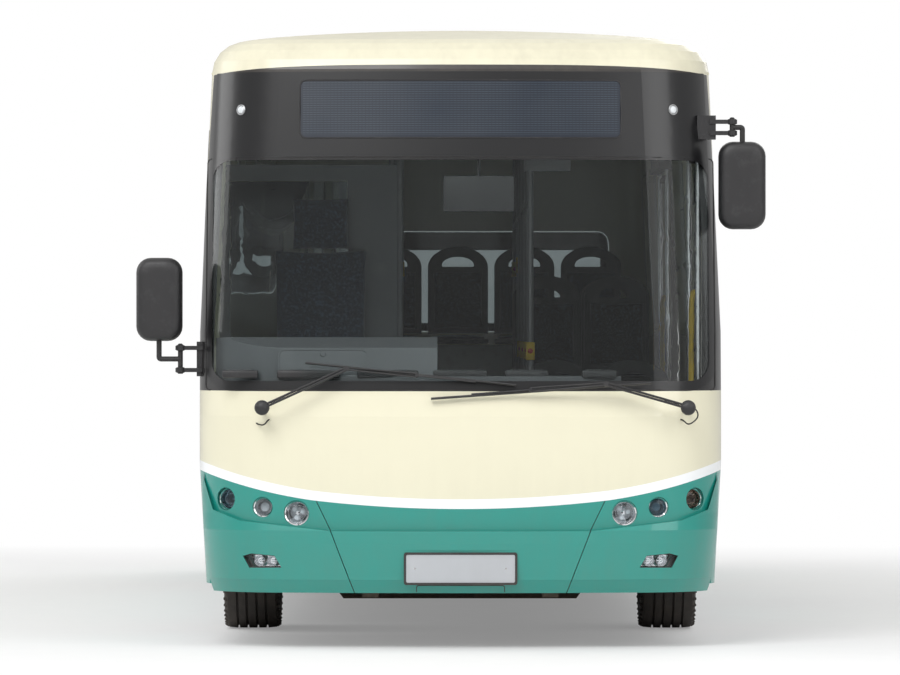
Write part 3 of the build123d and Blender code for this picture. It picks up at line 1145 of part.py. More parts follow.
# Grab rails: upright poles from floor to roof and two long overhead rails
RAIL_Z = 2150.0
RAIL_R = 16.0
POLE_X = 350.0
POLES = [(LEFT, -3540.0, LOW_FLOOR_Z), (LEFT, -2230.0, LOW_FLOOR_Z), (RIGHT, -2230.0, LOW_FLOOR_Z),
         (LEFT, -720.0, LOW_FLOOR_Z), (RIGHT, -600.0, LOW_FLOOR_Z), (LEFT, 720.0, LOW_FLOOR_Z),
         (RIGHT, 1480.0, HIGH_FLOOR_Z), (LEFT, 1480.0, HIGH_FLOOR_Z), (RIGHT, 3780.0, HIGH_FLOOR_Z),
         (LEFT, 3780.0, HIGH_FLOOR_Z)]
with BuildPart() as grab_rails:
    for side, y, z_floor in POLES:
        rod((side * POLE_X, y, z_floor + SEAM), (side * POLE_X, y, ROOF_Z), RAIL_R)
    for side in (-1, 1):
        near = min(y for way, y, z in POLES if way == side)
        far = max(y for way, y, z in POLES if way == side)
        rod((side * POLE_X, near, RAIL_Z), (side * POLE_X, far + 600, RAIL_Z), RAIL_R)
    block(POLE_X - 30, POLE_X + 200, -3600, -3480, 2300, 2365)
    add(CABIN, mode=Mode.INTERSECT)
save(grab_rails, "grab_rails")
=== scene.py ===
# %% [markdown]
# # A city bus, dressed for rendering
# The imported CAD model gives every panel, door and wheel its place. This lesson adds what a
# photograph shows on top: paint, glass, lamps, rubber, the driver's place and the seats.
# We start by loading that fixed frame and keeping its outer size, which must not grow.

from math import cos, pi, radians, sin, sqrt

import bmesh
import bpy
from mathutils import Matrix, Vector
from mathutils.bvhtree import BVHTree


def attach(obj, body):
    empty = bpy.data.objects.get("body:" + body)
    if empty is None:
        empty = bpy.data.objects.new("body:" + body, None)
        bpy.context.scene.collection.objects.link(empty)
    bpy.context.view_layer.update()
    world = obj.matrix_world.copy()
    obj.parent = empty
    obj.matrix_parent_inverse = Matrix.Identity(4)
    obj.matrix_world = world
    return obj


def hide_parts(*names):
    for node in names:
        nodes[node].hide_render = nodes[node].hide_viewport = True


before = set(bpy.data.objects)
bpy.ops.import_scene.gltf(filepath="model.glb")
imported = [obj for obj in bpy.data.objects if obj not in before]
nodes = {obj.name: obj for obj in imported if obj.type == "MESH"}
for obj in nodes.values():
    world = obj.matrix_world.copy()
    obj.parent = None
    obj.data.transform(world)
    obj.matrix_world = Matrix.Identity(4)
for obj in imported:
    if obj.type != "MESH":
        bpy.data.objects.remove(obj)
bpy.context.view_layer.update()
LEFT, RIGHT = 1, -1

# %% [markdown]
# ## The camera
# The photograph looks level at the front from far away, so lines hardly converge. A long lens
# 30 m in front of the bus gives that flat look. A very small shift puts the horizon where the
# photograph has it, because tilting the camera would make the upright lines lean.

# %% Place the camera
camera_data = bpy.data.cameras.new("camera")
camera_data.sensor_width = 36
camera_data.lens = 254.5
camera_data.shift_y = -0.0061
camera_data.clip_end = 400
camera = bpy.data.objects.new("camera", camera_data)
camera.location = (-0.05, -35.245, 1.5)
camera.rotation_euler = (radians(90), 0, 0)
bpy.context.scene.collection.objects.link(camera)
bpy.context.scene.camera = camera
bpy.context.scene.view_settings.view_transform = "Standard"
print("lens", camera_data.lens, "mm")

# %% [markdown]
# ## Small helpers for node trees
# Every finish below is a short node tree. Three helpers keep them readable: one adds a node and
# fills its sockets, one does a sum, and one opens a new material at its Principled shader.


# %% Node helpers
def node(tree, kind, settings=(), **sockets):
    """Add a node, set its properties, then fill or link its sockets by name."""
    made = tree.nodes.new(kind)
    for key, value in dict(settings).items():
        setattr(made, key, value)
    for key, value in sockets.items():
        socket = made.inputs[key.replace("_", " ")]
        if isinstance(value, bpy.types.NodeSocket):
            tree.links.new(value, socket)
        else:
            socket.default_value = value
    return made


def calc(tree, operation, *values):
    """One Math node; each value is a number or another node's output."""
    made = tree.nodes.new("ShaderNodeMath")
    made.operation = operation
    for socket, value in zip(made.inputs, values):
        if isinstance(value, bpy.types.NodeSocket):
            tree.links.new(value, socket)
        else:
            socket.default_value = value
    return made.outputs[0]


def blend(tree, factor, first, second):
    """Mix two colours by a factor."""
    made = tree.nodes.new("ShaderNodeMix")
    made.data_type = "RGBA"
    for socket, value in ((made.inputs[0], factor), (made.inputs[6], first), (made.inputs[7], second)):
        if isinstance(value, bpy.types.NodeSocket):
            tree.links.new(value, socket)
        else:
            socket.default_value = value
    return made.outputs[2]


def place_xyz(tree):
    """Object coordinates as X, Y and Z, with the plain vector first."""
    where = tree.nodes.new("ShaderNodeTexCoord").outputs["Object"]
    split = tree.nodes.new("ShaderNodeSeparateXYZ")
    tree.links.new(where, split.inputs[0])
    return where, split.outputs[0], split.outputs[1], split.outputs[2]


def start_material(name):
    """A new material with its tree and its Principled shader."""
    made = bpy.data.materials.new(name)
    made.use_nodes = True
    return made, made.node_tree, made.node_tree.nodes["Principled BSDF"]


def start_group(name, inputs, outputs):
    """A new shader node group with named sockets."""
    group = bpy.data.node_groups.new(name, "ShaderNodeTree")
    for label, kind, value in inputs:
        socket = group.interface.new_socket(name=label, in_out="INPUT", socket_type=kind)
        socket.default_value = value
    for label, kind in outputs:
        group.interface.new_socket(name=label, in_out="OUTPUT", socket_type=kind)
    return group, group.nodes.new("NodeGroupInput"), group.nodes.new("NodeGroupOutput")


COLOR, FLOAT = "NodeSocketColor", "NodeSocketFloat"
print("helpers ready")

# %% [markdown]
# ## Shared effects
# Real panels are never one even colour. Three effects turn up on most parts of a bus: a fine
# unevenness of the surface, grime that gathers towards the road, and scuffing. Each is built once
# as a node group, so that every material can use it with its own strength.

# %% Surface unevenness
uneven, uneven_in, uneven_out = start_group(
    "surface_unevenness",
    [("Scale", FLOAT, 40.0), ("Detail", FLOAT, 3.0)],
    [("Height", FLOAT), ("Mask", FLOAT)],
)
where = place_xyz(uneven)[0]
fine = node(uneven, "ShaderNodeTexNoise", Vector=where, Scale=uneven_in.outputs["Scale"],
            Detail=uneven_in.outputs["Detail"])
broad = node(uneven, "ShaderNodeTexNoise", Vector=where, Scale=1.7, Detail=4.0)
uneven.links.new(fine.outputs[0], uneven_out.inputs["Height"])
uneven.links.new(broad.outputs[0], uneven_out.inputs["Mask"])
print("group", uneven.name)

# %% Road grime
grime, grime_in, grime_out = start_group(
    "road_grime",
    [("Color", COLOR, (0.8, 0.8, 0.8, 1)), ("Grime", COLOR, (0.16, 0.13, 0.1, 1)),
     ("Top", FLOAT, 1.0), ("Amount", FLOAT, 0.3), ("Roughness", FLOAT, 0.3)],
    [("Color", COLOR), ("Roughness", FLOAT)],
)
where, x, y, z = place_xyz(grime)
low = calc(grime, "DIVIDE", calc(grime, "SUBTRACT", grime_in.outputs["Top"], z), grime_in.outputs["Top"])
low = calc(grime, "MAXIMUM", low, 0.0)
cloud = node(grime, "ShaderNodeTexNoise", Vector=where, Scale=3.1, Detail=7.0, Roughness=0.65)
streak_place = node(grime, "ShaderNodeMapping", Vector=where, Scale=(9.0, 9.0, 0.9))
streak = node(grime, "ShaderNodeTexNoise", Vector=streak_place.outputs[0], Scale=2.4, Detail=4.0)
patch = calc(grime, "MULTIPLY", cloud.outputs[0], calc(grime, "ADD", streak.outputs[0], 0.35))
spread = calc(grime, "MULTIPLY", calc(grime, "MULTIPLY", patch, 2.0), calc(grime, "ADD", low, 0.12))
mask = calc(grime, "MINIMUM", calc(grime, "MULTIPLY", spread, grime_in.outputs["Amount"]), 1.0)
grime.links.new(blend(grime, mask, grime_in.outputs["Color"], grime_in.outputs["Grime"]), grime_out.inputs[0])
grime.links.new(calc(grime, "ADD", grime_in.outputs["Roughness"], calc(grime, "MULTIPLY", mask, 0.5)),
                grime_out.inputs[1])
print("group", grime.name)

# %% Scuffs
scuff, scuff_in, scuff_out = start_group(
    "scuffs",
    [("Color", COLOR, (0.1, 0.1, 0.1, 1)), ("Worn", COLOR, (0.3, 0.3, 0.3, 1)), ("Amount", FLOAT, 0.4),
     ("Scale", FLOAT, 14.0)],
    [("Color", COLOR), ("Mask", FLOAT)],
)
where = place_xyz(scuff)[0]
spots = node(scuff, "ShaderNodeTexNoise", Vector=where, Scale=scuff_in.outputs["Scale"], Detail=8.0,
        Roughness=0.7)
mask = calc(scuff, "MULTIPLY", calc(scuff, "MAXIMUM", calc(scuff, "SUBTRACT", spots.outputs[0], 0.52),
        0.0), 6.0)
mask = calc(scuff, "MINIMUM", calc(scuff, "MULTIPLY", mask, scuff_in.outputs["Amount"]), 1.0)
scuff.links.new(blend(scuff, mask, scuff_in.outputs["Color"], scuff_in.outputs["Worn"]), scuff_out.inputs[0])
scuff.links.new(mask, scuff_out.inputs[1])
print("group", scuff.name)

# %% [markdown]
# ## The livery
# The bus is cream above, teal below, with a white line between. The line dips in the middle of
# the front and climbs round the corners, then runs level along the sides. Painting it from the
# place of each point, rather than from the panel, keeps it in step across every seam.

# %% Livery colours by place
CREAM = (0.80, 0.765, 0.585, 1)
WHITE = (0.93, 0.95, 0.96, 1)
TEAL = (0.003, 0.27, 0.225, 1)
BLACK = (0.006, 0.006, 0.007, 1)
livery, livery_in, livery_out = start_group("livery", [], [("Color", COLOR), ("Teal", FLOAT)])
where, x, y, z = place_xyz(livery)
across = calc(livery, "ABSOLUTE", x)
middle = calc(livery, "MULTIPLY_ADD", calc(livery, "MULTIPLY", across, across), 0.08163, 0.664)
beyond = calc(livery, "SUBTRACT", across, 0.7)
outer = calc(livery, "MULTIPLY_ADD", calc(livery, "MULTIPLY", beyond, beyond), 0.2042,
             calc(livery, "MULTIPLY_ADD", beyond, 0.14083, 0.704))
past = calc(livery, "GREATER_THAN", across, 0.7)
line = calc(livery, "ADD", calc(livery, "MULTIPLY", middle, calc(livery, "SUBTRACT", 1.0, past)),
            calc(livery, "MULTIPLY", outer, past))
is_teal = calc(livery, "LESS_THAN", z, line)
is_white = calc(livery, "LESS_THAN", z, calc(livery, "ADD", line, 0.046))
painted = blend(livery, is_teal, blend(livery, is_white, CREAM, WHITE), TEAL)
top = calc(livery, "SUBTRACT", 2.772, calc(livery, "MULTIPLY", calc(livery, "POWER", across, 4.0), 0.019))
band = calc(livery, "MULTIPLY", calc(livery, "GREATER_THAN", z, 1.2215), calc(livery, "LESS_THAN", z, top))
is_black = calc(livery, "MULTIPLY", band, calc(livery, "LESS_THAN", y, -4.64))
painted = blend(livery, is_black, painted, BLACK)
livery.links.new(painted, livery_out.inputs[0])
livery.links.new(is_teal, livery_out.inputs[1])
print("line at the middle 0.664 m, at the sides 0.843 m")


# %% [markdown]
# ## Paint, plastic, rubber and metal
# Most finishes differ only in colour, roughness, bump and grime. One recipe takes those values,
# so each material below is a line, and its look comes from the shared groups.


# %% Recipe for opaque finishes
def finish(name, color, roughness, grain=60.0, bump=0.1, grime_amount=0.25, grime_top=0.9, worn=None,
           wear=0.4, wear_scale=14.0, **sockets):
    """An opaque material: colour with scuffs and grime, and a fine bump."""
    made, tree, shader = start_material(name)
    surface = node(tree, "ShaderNodeGroup", {"node_tree": uneven}, Scale=grain)
    if isinstance(color, bpy.types.NodeTree):
        color = node(tree, "ShaderNodeGroup", {"node_tree": color}).outputs[0]
    else:
        shade = tuple(c * 0.82 for c in color[:3]) + (1,)
        color = blend(tree, surface.outputs["Mask"], color, shade)
    if worn:
        worn_mix = node(tree, "ShaderNodeGroup", {"node_tree": scuff}, Color=color, Worn=worn, Amount=wear,
                        Scale=wear_scale)
        color = worn_mix.outputs[0]
    dirt = node(tree, "ShaderNodeGroup", {"node_tree": grime}, Color=color, Top=grime_top,
                Amount=grime_amount, Roughness=roughness)
    tree.links.new(dirt.outputs["Color"], shader.inputs["Base Color"])
    tree.links.new(dirt.outputs["Roughness"], shader.inputs["Roughness"])
    relief = node(tree, "ShaderNodeBump", Height=surface.outputs["Height"], Strength=bump, Distance=0.002)
    tree.links.new(relief.outputs[0], shader.inputs["Normal"])
    for key, value in sockets.items():
        shader.inputs[key.replace("_", " ")].default_value = value
    return made


body_paint = finish("body_paint", livery, 0.3, grain=55, bump=0.012, grime_amount=0.16, grime_top=1.0,
                    Coat_Weight=0.55, Coat_Roughness=0.06)
roof_paint = finish("roof_paint", livery, 0.36, grain=55, bump=0.02, grime_amount=0.4, grime_top=4.0,
                    Coat_Weight=0.3, Coat_Roughness=0.12)
header_black = finish("header_black", (0.006, 0.006, 0.007, 1), 0.3, grain=40, bump=0.01, grime_amount=0.02,
                      Coat_Weight=0.25, Coat_Roughness=0.15)
rubber = finish("rubber", (0.012, 0.012, 0.013, 1), 0.62, grain=160, bump=0.25, grime_amount=0.3,
                worn=(0.05, 0.05, 0.05, 1))
moulded_black = finish("moulded_black", (0.016, 0.016, 0.018, 1), 0.45, grain=420, bump=0.3, grime_amount=0.2,
                       worn=(0.06, 0.06, 0.062, 1), wear=0.3)
dark_steel = finish("dark_steel", (0.03, 0.03, 0.032, 1), 0.5, grain=90, bump=0.2, grime_amount=0.9,
                    worn=(0.12, 0.08, 0.05, 1), wear=0.5, Metallic=0.4)
silver_paint = finish("silver_paint", (0.48, 0.49, 0.5, 1), 0.32, grain=120, bump=0.06, grime_amount=0.5,
                      grime_top=1.2, worn=(0.25, 0.23, 0.2, 1), Metallic=0.6)
bright_steel = finish("bright_steel", (0.72, 0.72, 0.73, 1), 0.2, grain=200, bump=0.04, grime_amount=0.1,
                      worn=(0.45, 0.44, 0.42, 1), Metallic=1.0)
rail_paint = finish("rail_paint", (0.2, 0.2, 0.205, 1), 0.3, grain=60, bump=0.01, grime_amount=0.05,
        Metallic=0.3)
chrome = finish("chrome", (0.86, 0.87, 0.88, 1), 0.07, grain=30, bump=0.01, grime_amount=0.03, Metallic=1.0)
print("opaque finishes", len(bpy.data.materials))

# %% Cabin finishes
cabin_grey = finish("cabin_grey", (0.13, 0.134, 0.14, 1), 0.5, grain=350, bump=0.2, grime_amount=0.1,
                    worn=(0.17, 0.17, 0.17, 1))
dash_grey = finish("dash_grey", (0.105, 0.108, 0.115, 1), 0.55, grain=500, bump=0.35, grime_amount=0.1,
                   worn=(0.15, 0.15, 0.15, 1), wear=0.25)
seat_shell = finish("seat_shell", (0.05, 0.055, 0.062, 1), 0.42, grain=380, bump=0.25, grime_amount=0.1,
                    worn=(0.12, 0.12, 0.13, 1), wear=0.4)
floor_vinyl = finish("floor_vinyl", (0.11, 0.115, 0.12, 1), 0.6, grain=600, bump=0.5, grime_amount=0.4,
                     worn=(0.3, 0.3, 0.3, 1), wear=0.9, wear_scale=220)
nosing_yellow = finish("nosing_yellow", (0.75, 0.48, 0.02, 1), 0.5, grain=300, bump=0.4,
        worn=(0.2, 0.17, 0.1, 1))
engine_grey = finish("engine_grey", (0.1, 0.105, 0.11, 1), 0.45, grain=70, bump=0.3, grime_amount=1.2,
                     worn=(0.2, 0.15, 0.1, 1), Metallic=0.5)
plate_white = finish("plate_white", (0.52, 0.54, 0.57, 1), 0.32, grain=200, bump=0.03, grime_amount=0.12)
print("cabin finishes ready")


# %% [markdown]
# ## Glass
# A pane is clear, slightly tinted and smooth. Light meant for the cabin has to come through, but a
# path tracer finds it hard to aim at a lamp through refracting glass. Light Path lets shadow rays
# pass straight on with only the tint, while the eye still sees true glass.


# %% Glass finishes
def glass(name, tint, roughness=0.0, index=1.45, grain=6.0, wave=0.0, haze=0.0):
    """Clear or tinted glass with faint smears in its roughness."""
    made, tree, shader = start_material(name)
    surface = node(tree, "ShaderNodeGroup", {"node_tree": uneven}, Scale=grain)
    smear = calc(tree, "MULTIPLY_ADD", surface.outputs["Mask"], haze, roughness)
    deeper = tuple(c * 0.93 for c in tint[:3]) + (1,)
    tree.links.new(blend(tree, surface.outputs["Mask"], tint, deeper), shader.inputs["Base Color"])
    tree.links.new(smear, shader.inputs["Roughness"])
    if wave:
        relief = node(tree, "ShaderNodeBump", Height=surface.outputs["Height"], Strength=wave, Distance=0.001)
        tree.links.new(relief.outputs[0], shader.inputs["Normal"])
    shader.inputs["Transmission Weight"].default_value = 1.0
    shader.inputs["IOR"].default_value = index
    clear = node(tree, "ShaderNodeBsdfTransparent", Color=tint)
    path = tree.nodes.new("ShaderNodeLightPath")
    passes = calc(tree, "MAXIMUM", path.outputs["Is Shadow Ray"], path.outputs["Is Diffuse Ray"])
    mix = tree.nodes.new("ShaderNodeMixShader")
    tree.links.new(passes, mix.inputs[0])
    tree.links.new(shader.outputs[0], mix.inputs[1])
    tree.links.new(clear.outputs[0], mix.inputs[2])
    tree.links.new(mix.outputs[0], tree.nodes["Material Output"].inputs["Surface"])
    return made


screen_glass = glass("screen_glass", (0.8, 0.84, 0.84, 1), index=1.3, haze=0.02)
side_glass = glass("side_glass", (0.16, 0.185, 0.19, 1), index=1.4, haze=0.02)
lens_clear = glass("lens_clear", (0.93, 0.95, 0.97, 1), index=1.35, grain=90, wave=0.3)
lens_blue = glass("lens_blue", (0.45, 0.56, 0.62, 1), index=1.35, grain=90, wave=0.4)
lens_brown = glass("lens_brown", (0.5, 0.42, 0.36, 1), index=1.35, grain=90, wave=0.4)
lens_red = glass("lens_red", (0.6, 0.01, 0.012, 1), roughness=0.08, grain=120, wave=0.6)
lens_amber = glass("lens_amber", (0.85, 0.24, 0.01, 1), roughness=0.08, grain=120, wave=0.6)
print("glass finishes ready")

# %% [markdown]
# ## The destination display
# With no route set, the display is a dark navy pane over rows of unlit lamps. The rows show as fine
# level lines. They are painted from the height of each point, with a little unevenness so that they
# don't look printed.

# %% Display finish
display, tree, shader = start_material("display")
where, x, y, z = place_xyz(tree)
rows = calc(tree, "FRACT", calc(tree, "MULTIPLY", z, 92.0))
line_mask = calc(tree, "LESS_THAN", rows, 0.3)
columns = calc(tree, "FRACT", calc(tree, "MULTIPLY", x, 60.0))
dot_mask = calc(tree, "MULTIPLY", line_mask, calc(tree, "LESS_THAN", columns, 0.82))
inside = calc(tree, "MULTIPLY", calc(tree, "LESS_THAN", calc(tree, "ABSOLUTE", x), 0.752),
              calc(tree, "MULTIPLY", calc(tree, "GREATER_THAN", z, 2.437), calc(tree, "LESS_THAN", z, 2.69)))
lit = calc(tree, "MULTIPLY", dot_mask, inside)
cloudy = node(tree, "ShaderNodeTexNoise", Vector=where, Scale=4.0, Detail=3.0)
row_color = blend(tree, cloudy.outputs[0], (0.02, 0.035, 0.055, 1), (0.045, 0.06, 0.075, 1))
tree.links.new(blend(tree, lit, (0.006, 0.011, 0.022, 1), row_color), shader.inputs["Base Color"])
tree.links.new(calc(tree, "MULTIPLY_ADD", cloudy.outputs[0], 0.2, 0.25), shader.inputs["Roughness"])
shader.inputs["Coat Weight"].default_value = 0.2
print("display rows every", round(1000 / 92, 1), "mm")

# %% [markdown]
# ## Dress the CAD nodes
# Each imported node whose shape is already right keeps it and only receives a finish. A table pairs
# them, so it is easy to see that none is left with its plain colour.

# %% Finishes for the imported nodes
NODE_FINISH = {
    body_paint: ["front_panel", "bumper_center", "bumper_corners", "side_wall_left", "side_wall_right",
                 "rear_wall", "rear_bumper", "engine_hatch"],
    roof_paint: ["roof", "roof_hatch_front", "roof_hatch_rear"],
    header_black: ["front_header"],
    display: ["destination_sign"],
    screen_glass: ["windscreen"],
    side_glass: ["windows"] + [n for n in nodes if n.startswith("door_glass")],
    moulded_black: ["lamp_cups", "mirror_left", "mirror_right", "mirror_brackets", "steering_wheel"]
                   + [n for n in nodes if n.startswith("door_leaf")],
    lens_red: ["tail_lamps"],
    floor_vinyl: ["floor"],
    dark_steel: ["chassis_frame", "axle_front", "axle_rear", "knuckle_left", "knuckle_right"],
    engine_grey: ["engine"],
    silver_paint: [n for n in nodes if n.startswith("rim")],
    cabin_grey: ["door_gear", "driver_partition", "driver_fittings"],
    dash_grey: ["dashboard"],
    seat_shell: ["driver_cushions", "passenger_seats"],
    rail_paint: ["grab_rails"],
    bright_steel: [n for n in nodes if n.startswith("door_post")],
    lens_clear: ["lamp_lenses"],
    rubber: ["air_springs", "wiper_left", "wiper_right"] + [n for n in nodes if n.startswith("tyre")],
}
dressed = set()
for material, names in NODE_FINISH.items():
    for name in names:
        mesh = nodes[name].data
        mesh.materials.clear()
        mesh.materials.append(material)
        dressed.add(name)
print("dressed", len(dressed), "of", len(nodes), "nodes; left:", sorted(set(nodes) - dressed))


# %% [markdown]
# ## Helpers for modelling
# Pieces are made with bmesh operators: boxes with rounded edges, turned forms, plates cut to an
# outline, and pipes. One function finishes each piece: it marks sharp edges, gives the material
# and lets the piece ride on its CAD body.


# %% Piece helpers
def finish_piece(bm, name, body, material, stands_for=(), crease=35):
    """Turn a bmesh into a finished piece that rides on a CAD body."""
    bmesh.ops.remove_doubles(bm, verts=bm.verts, dist=0.00002)
    bmesh.ops.recalc_face_normals(bm, faces=bm.faces)
    for face in bm.faces:
        face.smooth = True
    for edge in bm.edges:
        if len(edge.link_faces) == 2:
            edge.smooth = edge.calc_face_angle(0) < radians(crease)
    mesh = bpy.data.meshes.new(name)
    bm.to_mesh(mesh)
    bm.free()
    mesh.materials.append(material)
    made = bpy.data.objects.new(name, mesh)
    bpy.context.scene.collection.objects.link(made)
    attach(made, body)
    if stands_for:
        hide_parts(*stands_for)
    return made


def box(bm, low, high, bevel=0.0, segments=2, turn=None):
    """A box between two corners with rounded edges, turned about its middle if asked."""
    verts = bmesh.ops.create_cube(bm, size=1.0)["verts"]
    size = [h - l for l, h in zip(low, high)]
    middle = Vector([(l + h) / 2 for l, h in zip(low, high)])
    bmesh.ops.scale(bm, vec=size, verts=verts)
    if bevel:
        edges = list({e for v in verts for e in v.link_edges})
        made = bmesh.ops.bevel(bm, geom=edges, offset=bevel, segments=segments, affect="EDGES", profile=0.5,
                               material=-1)
        verts = list({v for f in made["faces"] for v in f.verts} | {v for v in verts if v.is_valid})
    if turn is not None:
        bmesh.ops.transform(bm, matrix=turn, verts=verts)
    bmesh.ops.translate(bm, vec=middle, verts=verts)
    return verts


def turned(bm, profile, origin, axis, steps=32):
    """A turned form: profile points are (radius, distance along the axis)."""
    axis = Vector(axis).normalized()
    out = axis.orthogonal().normalized()
    verts = [bm.verts.new(Vector(origin) + out * r + axis * h) for r, h in profile]
    edges = [bm.edges.new(pair) for pair in zip(verts, verts[1:])]
    bmesh.ops.spin(bm, geom=verts + edges, cent=origin, axis=axis, angle=2 * pi, steps=steps, use_merge=True)


def rounded(x0, x1, y0, y1, radius, steps=5):
    """Points of a rectangle with round corners, anticlockwise."""
    corners = [(x1 - radius, y1 - radius, 0), (x0 + radius, y1 - radius, 90),
               (x0 + radius, y0 + radius, 180), (x1 - radius, y0 + radius, 270)]
    return [(cx + radius * cos(radians(start + 90 * i / steps)),
            cy + radius * sin(radians(start + 90 * i / steps)))
            for cx, cy, start in corners for i in range(steps + 1)]


def grid_frame(origin, across, up):
    """A matrix whose X runs across, Y up and Z out of a flat place."""
    across, up = Vector(across).normalized(), Vector(up).normalized()
    out = across.cross(up)
    made = Matrix((across, up, out)).transposed().to_4x4()
    made.translation = Vector(origin)
    return made


def plate(bm, points, at, thickness, bevel=0.0):
    """A flat plate cut to an outline; at maps the drawing to its place."""
    verts = [bm.verts.new(at @ Vector((x, y, 0))) for x, y in points]
    face = bm.faces.new(verts)
    made = bmesh.ops.extrude_face_region(bm, geom=[face])["geom"]
    top = [v for v in made if isinstance(v, bmesh.types.BMVert)]
    out = at.to_3x3() @ Vector((0, 0, 1))
    bmesh.ops.translate(bm, vec=out * thickness, verts=top)
    if bevel:
        rim = [e for e in made if isinstance(e, bmesh.types.BMEdge)]
        bmesh.ops.bevel(bm, geom=rim, offset=bevel, segments=2, affect="EDGES", profile=0.5, material=-1)


def ring_plate(bm, outer, inner, at, thickness):
    """A flat frame between two outlines with the same count of points."""
    loops = []
    for points in (outer, inner):
        verts = [bm.verts.new(at @ Vector((x, y, 0))) for x, y in points]
        loops += [bm.edges.new((verts[i - 1], verts[i])) for i in range(len(verts))]
    faces = bmesh.ops.bridge_loops(bm, edges=loops)["faces"]
    made = bmesh.ops.extrude_face_region(bm, geom=faces)["geom"]
    out = at.to_3x3() @ Vector((0, 0, 1))
    bmesh.ops.translate(bm, vec=out * thickness, verts=[v for v in made if isinstance(v, bmesh.types.BMVert)])


def bar(bm, start, end, radius, sides=14, taper=1.0):
    """A round bar between two points, with closed ends."""
    start, end = Vector(start), Vector(end)
    run = end - start
    turn = run.to_track_quat("Z", "Y").to_matrix().to_4x4()
    turn.translation = (start + end) / 2
    bmesh.ops.create_cone(bm, cap_ends=True, segments=sides, radius1=radius, radius2=radius * taper,
                          depth=run.length, matrix=turn)


def pipe(bm, points, radius, order=3, sides=3):
    """A smooth pipe along a NURBS line, added to the bmesh."""
    curve = bpy.data.curves.new("pipe_line", "CURVE")
    curve.dimensions = "3D"
    curve.bevel_depth = radius
    curve.bevel_resolution = sides
    curve.resolution_u = 8
    curve.use_fill_caps = True
    spline = curve.splines.new("NURBS")
    spline.points.add(len(points) - 1)
    for target, point in zip(spline.points, points):
        target.co = (*point, 1)
    spline.order_u = order
    spline.use_endpoint_u = True
    holder = bpy.data.objects.new("pipe_line", curve)
    bpy.context.scene.collection.objects.link(holder)
    bpy.context.view_layer.update()
    mesh = bpy.data.meshes.new_from_object(holder.evaluated_get(bpy.context.evaluated_depsgraph_get()))
    bm.from_mesh(mesh)
    bpy.data.objects.remove(holder)
    bpy.data.curves.remove(curve)
    bpy.data.meshes.remove(mesh)


def hexagon(bm, origin, axis, across, height):
    """A hexagonal nut or bolt head with chamfered corners."""
    radius = across / sqrt(3)
    turn = Vector(axis).to_track_quat("Z", "Y").to_matrix().to_4x4()
    turn.translation = Vector(origin) + Vector(axis).normalized() * height / 2
    made = bmesh.ops.create_cone(bm, cap_ends=True, segments=6, radius1=radius, radius2=radius, depth=height,
                                 matrix=turn)["verts"]
    edges = list({e for v in made for e in v.link_edges if len({f for f in e.link_faces}) == 2})
    bmesh.ops.bevel(bm, geom=edges, offset=height * 0.1, segments=1, affect="EDGES", profile=0.5, material=-1)


print("modelling helpers ready")

# %% [markdown]
# ## Finding the surface
# Trim on a curved panel has to lie on it. A ray sent at the body's outer nodes gives the place and
# the direction of the surface, so each small piece is seated on what carries it.

# %% A ray finder over the body
SKIN_NODES = ["roof", "front_header", "windscreen", "destination_sign", "front_panel", "bumper_center",
              "bumper_corners", "side_wall_left", "side_wall_right", "windows", "rear_wall", "rear_bumper",
              "engine_hatch"]
skin_verts, skin_faces = [], []
for name in SKIN_NODES:
    start = len(skin_verts)
    skin_verts += [v.co.copy() for v in nodes[name].data.vertices]
    skin_faces += [[start + i for i in p.vertices] for p in nodes[name].data.polygons]
skin = BVHTree.FromPolygons(skin_verts, skin_faces)


def front_at(x, z):
    """Place and outward direction of the front's surface, seen from ahead."""
    hit, normal = skin.ray_cast(Vector((x, -8, z)), Vector((0, 1, 0)))[:2]
    if hit is None:
        hit, normal = skin.find_nearest(Vector((x, -5, z)))[:2]
    return hit, normal if normal.y < 0 else -normal


def side_at(side, y, z):
    """Place and outward direction of a side's surface."""
    hit, normal = skin.ray_cast(Vector((side * 4, y, z)), Vector((-side, 0, 0)))[:2]
    if hit is None:
        hit, normal = skin.find_nearest(Vector((side * 1.25, y, z)))[:2]
    return hit, normal if normal.x * side > 0 else -normal


def rear_at(x, z):
    """Place and outward direction of the back's surface."""
    hit, normal = skin.ray_cast(Vector((x, 8, z)), Vector((0, -1, 0)))[:2]
    if hit is None:
        hit, normal = skin.find_nearest(Vector((x, 5.2, z)))[:2]
    return hit, normal if normal.y > 0 else -normal


print("front middle at", front_at(0, 1.0)[0])

# %% [markdown]
# ## Black border of the windscreen
# A windscreen is glued in, and a fired black border hides the glue. Here the border is a thin
# skin: the outer faces of the pane are copied, cut along the clear area's edge, and only what lies
# outside that edge is kept. The same steps make the borders of the side and rear windows.


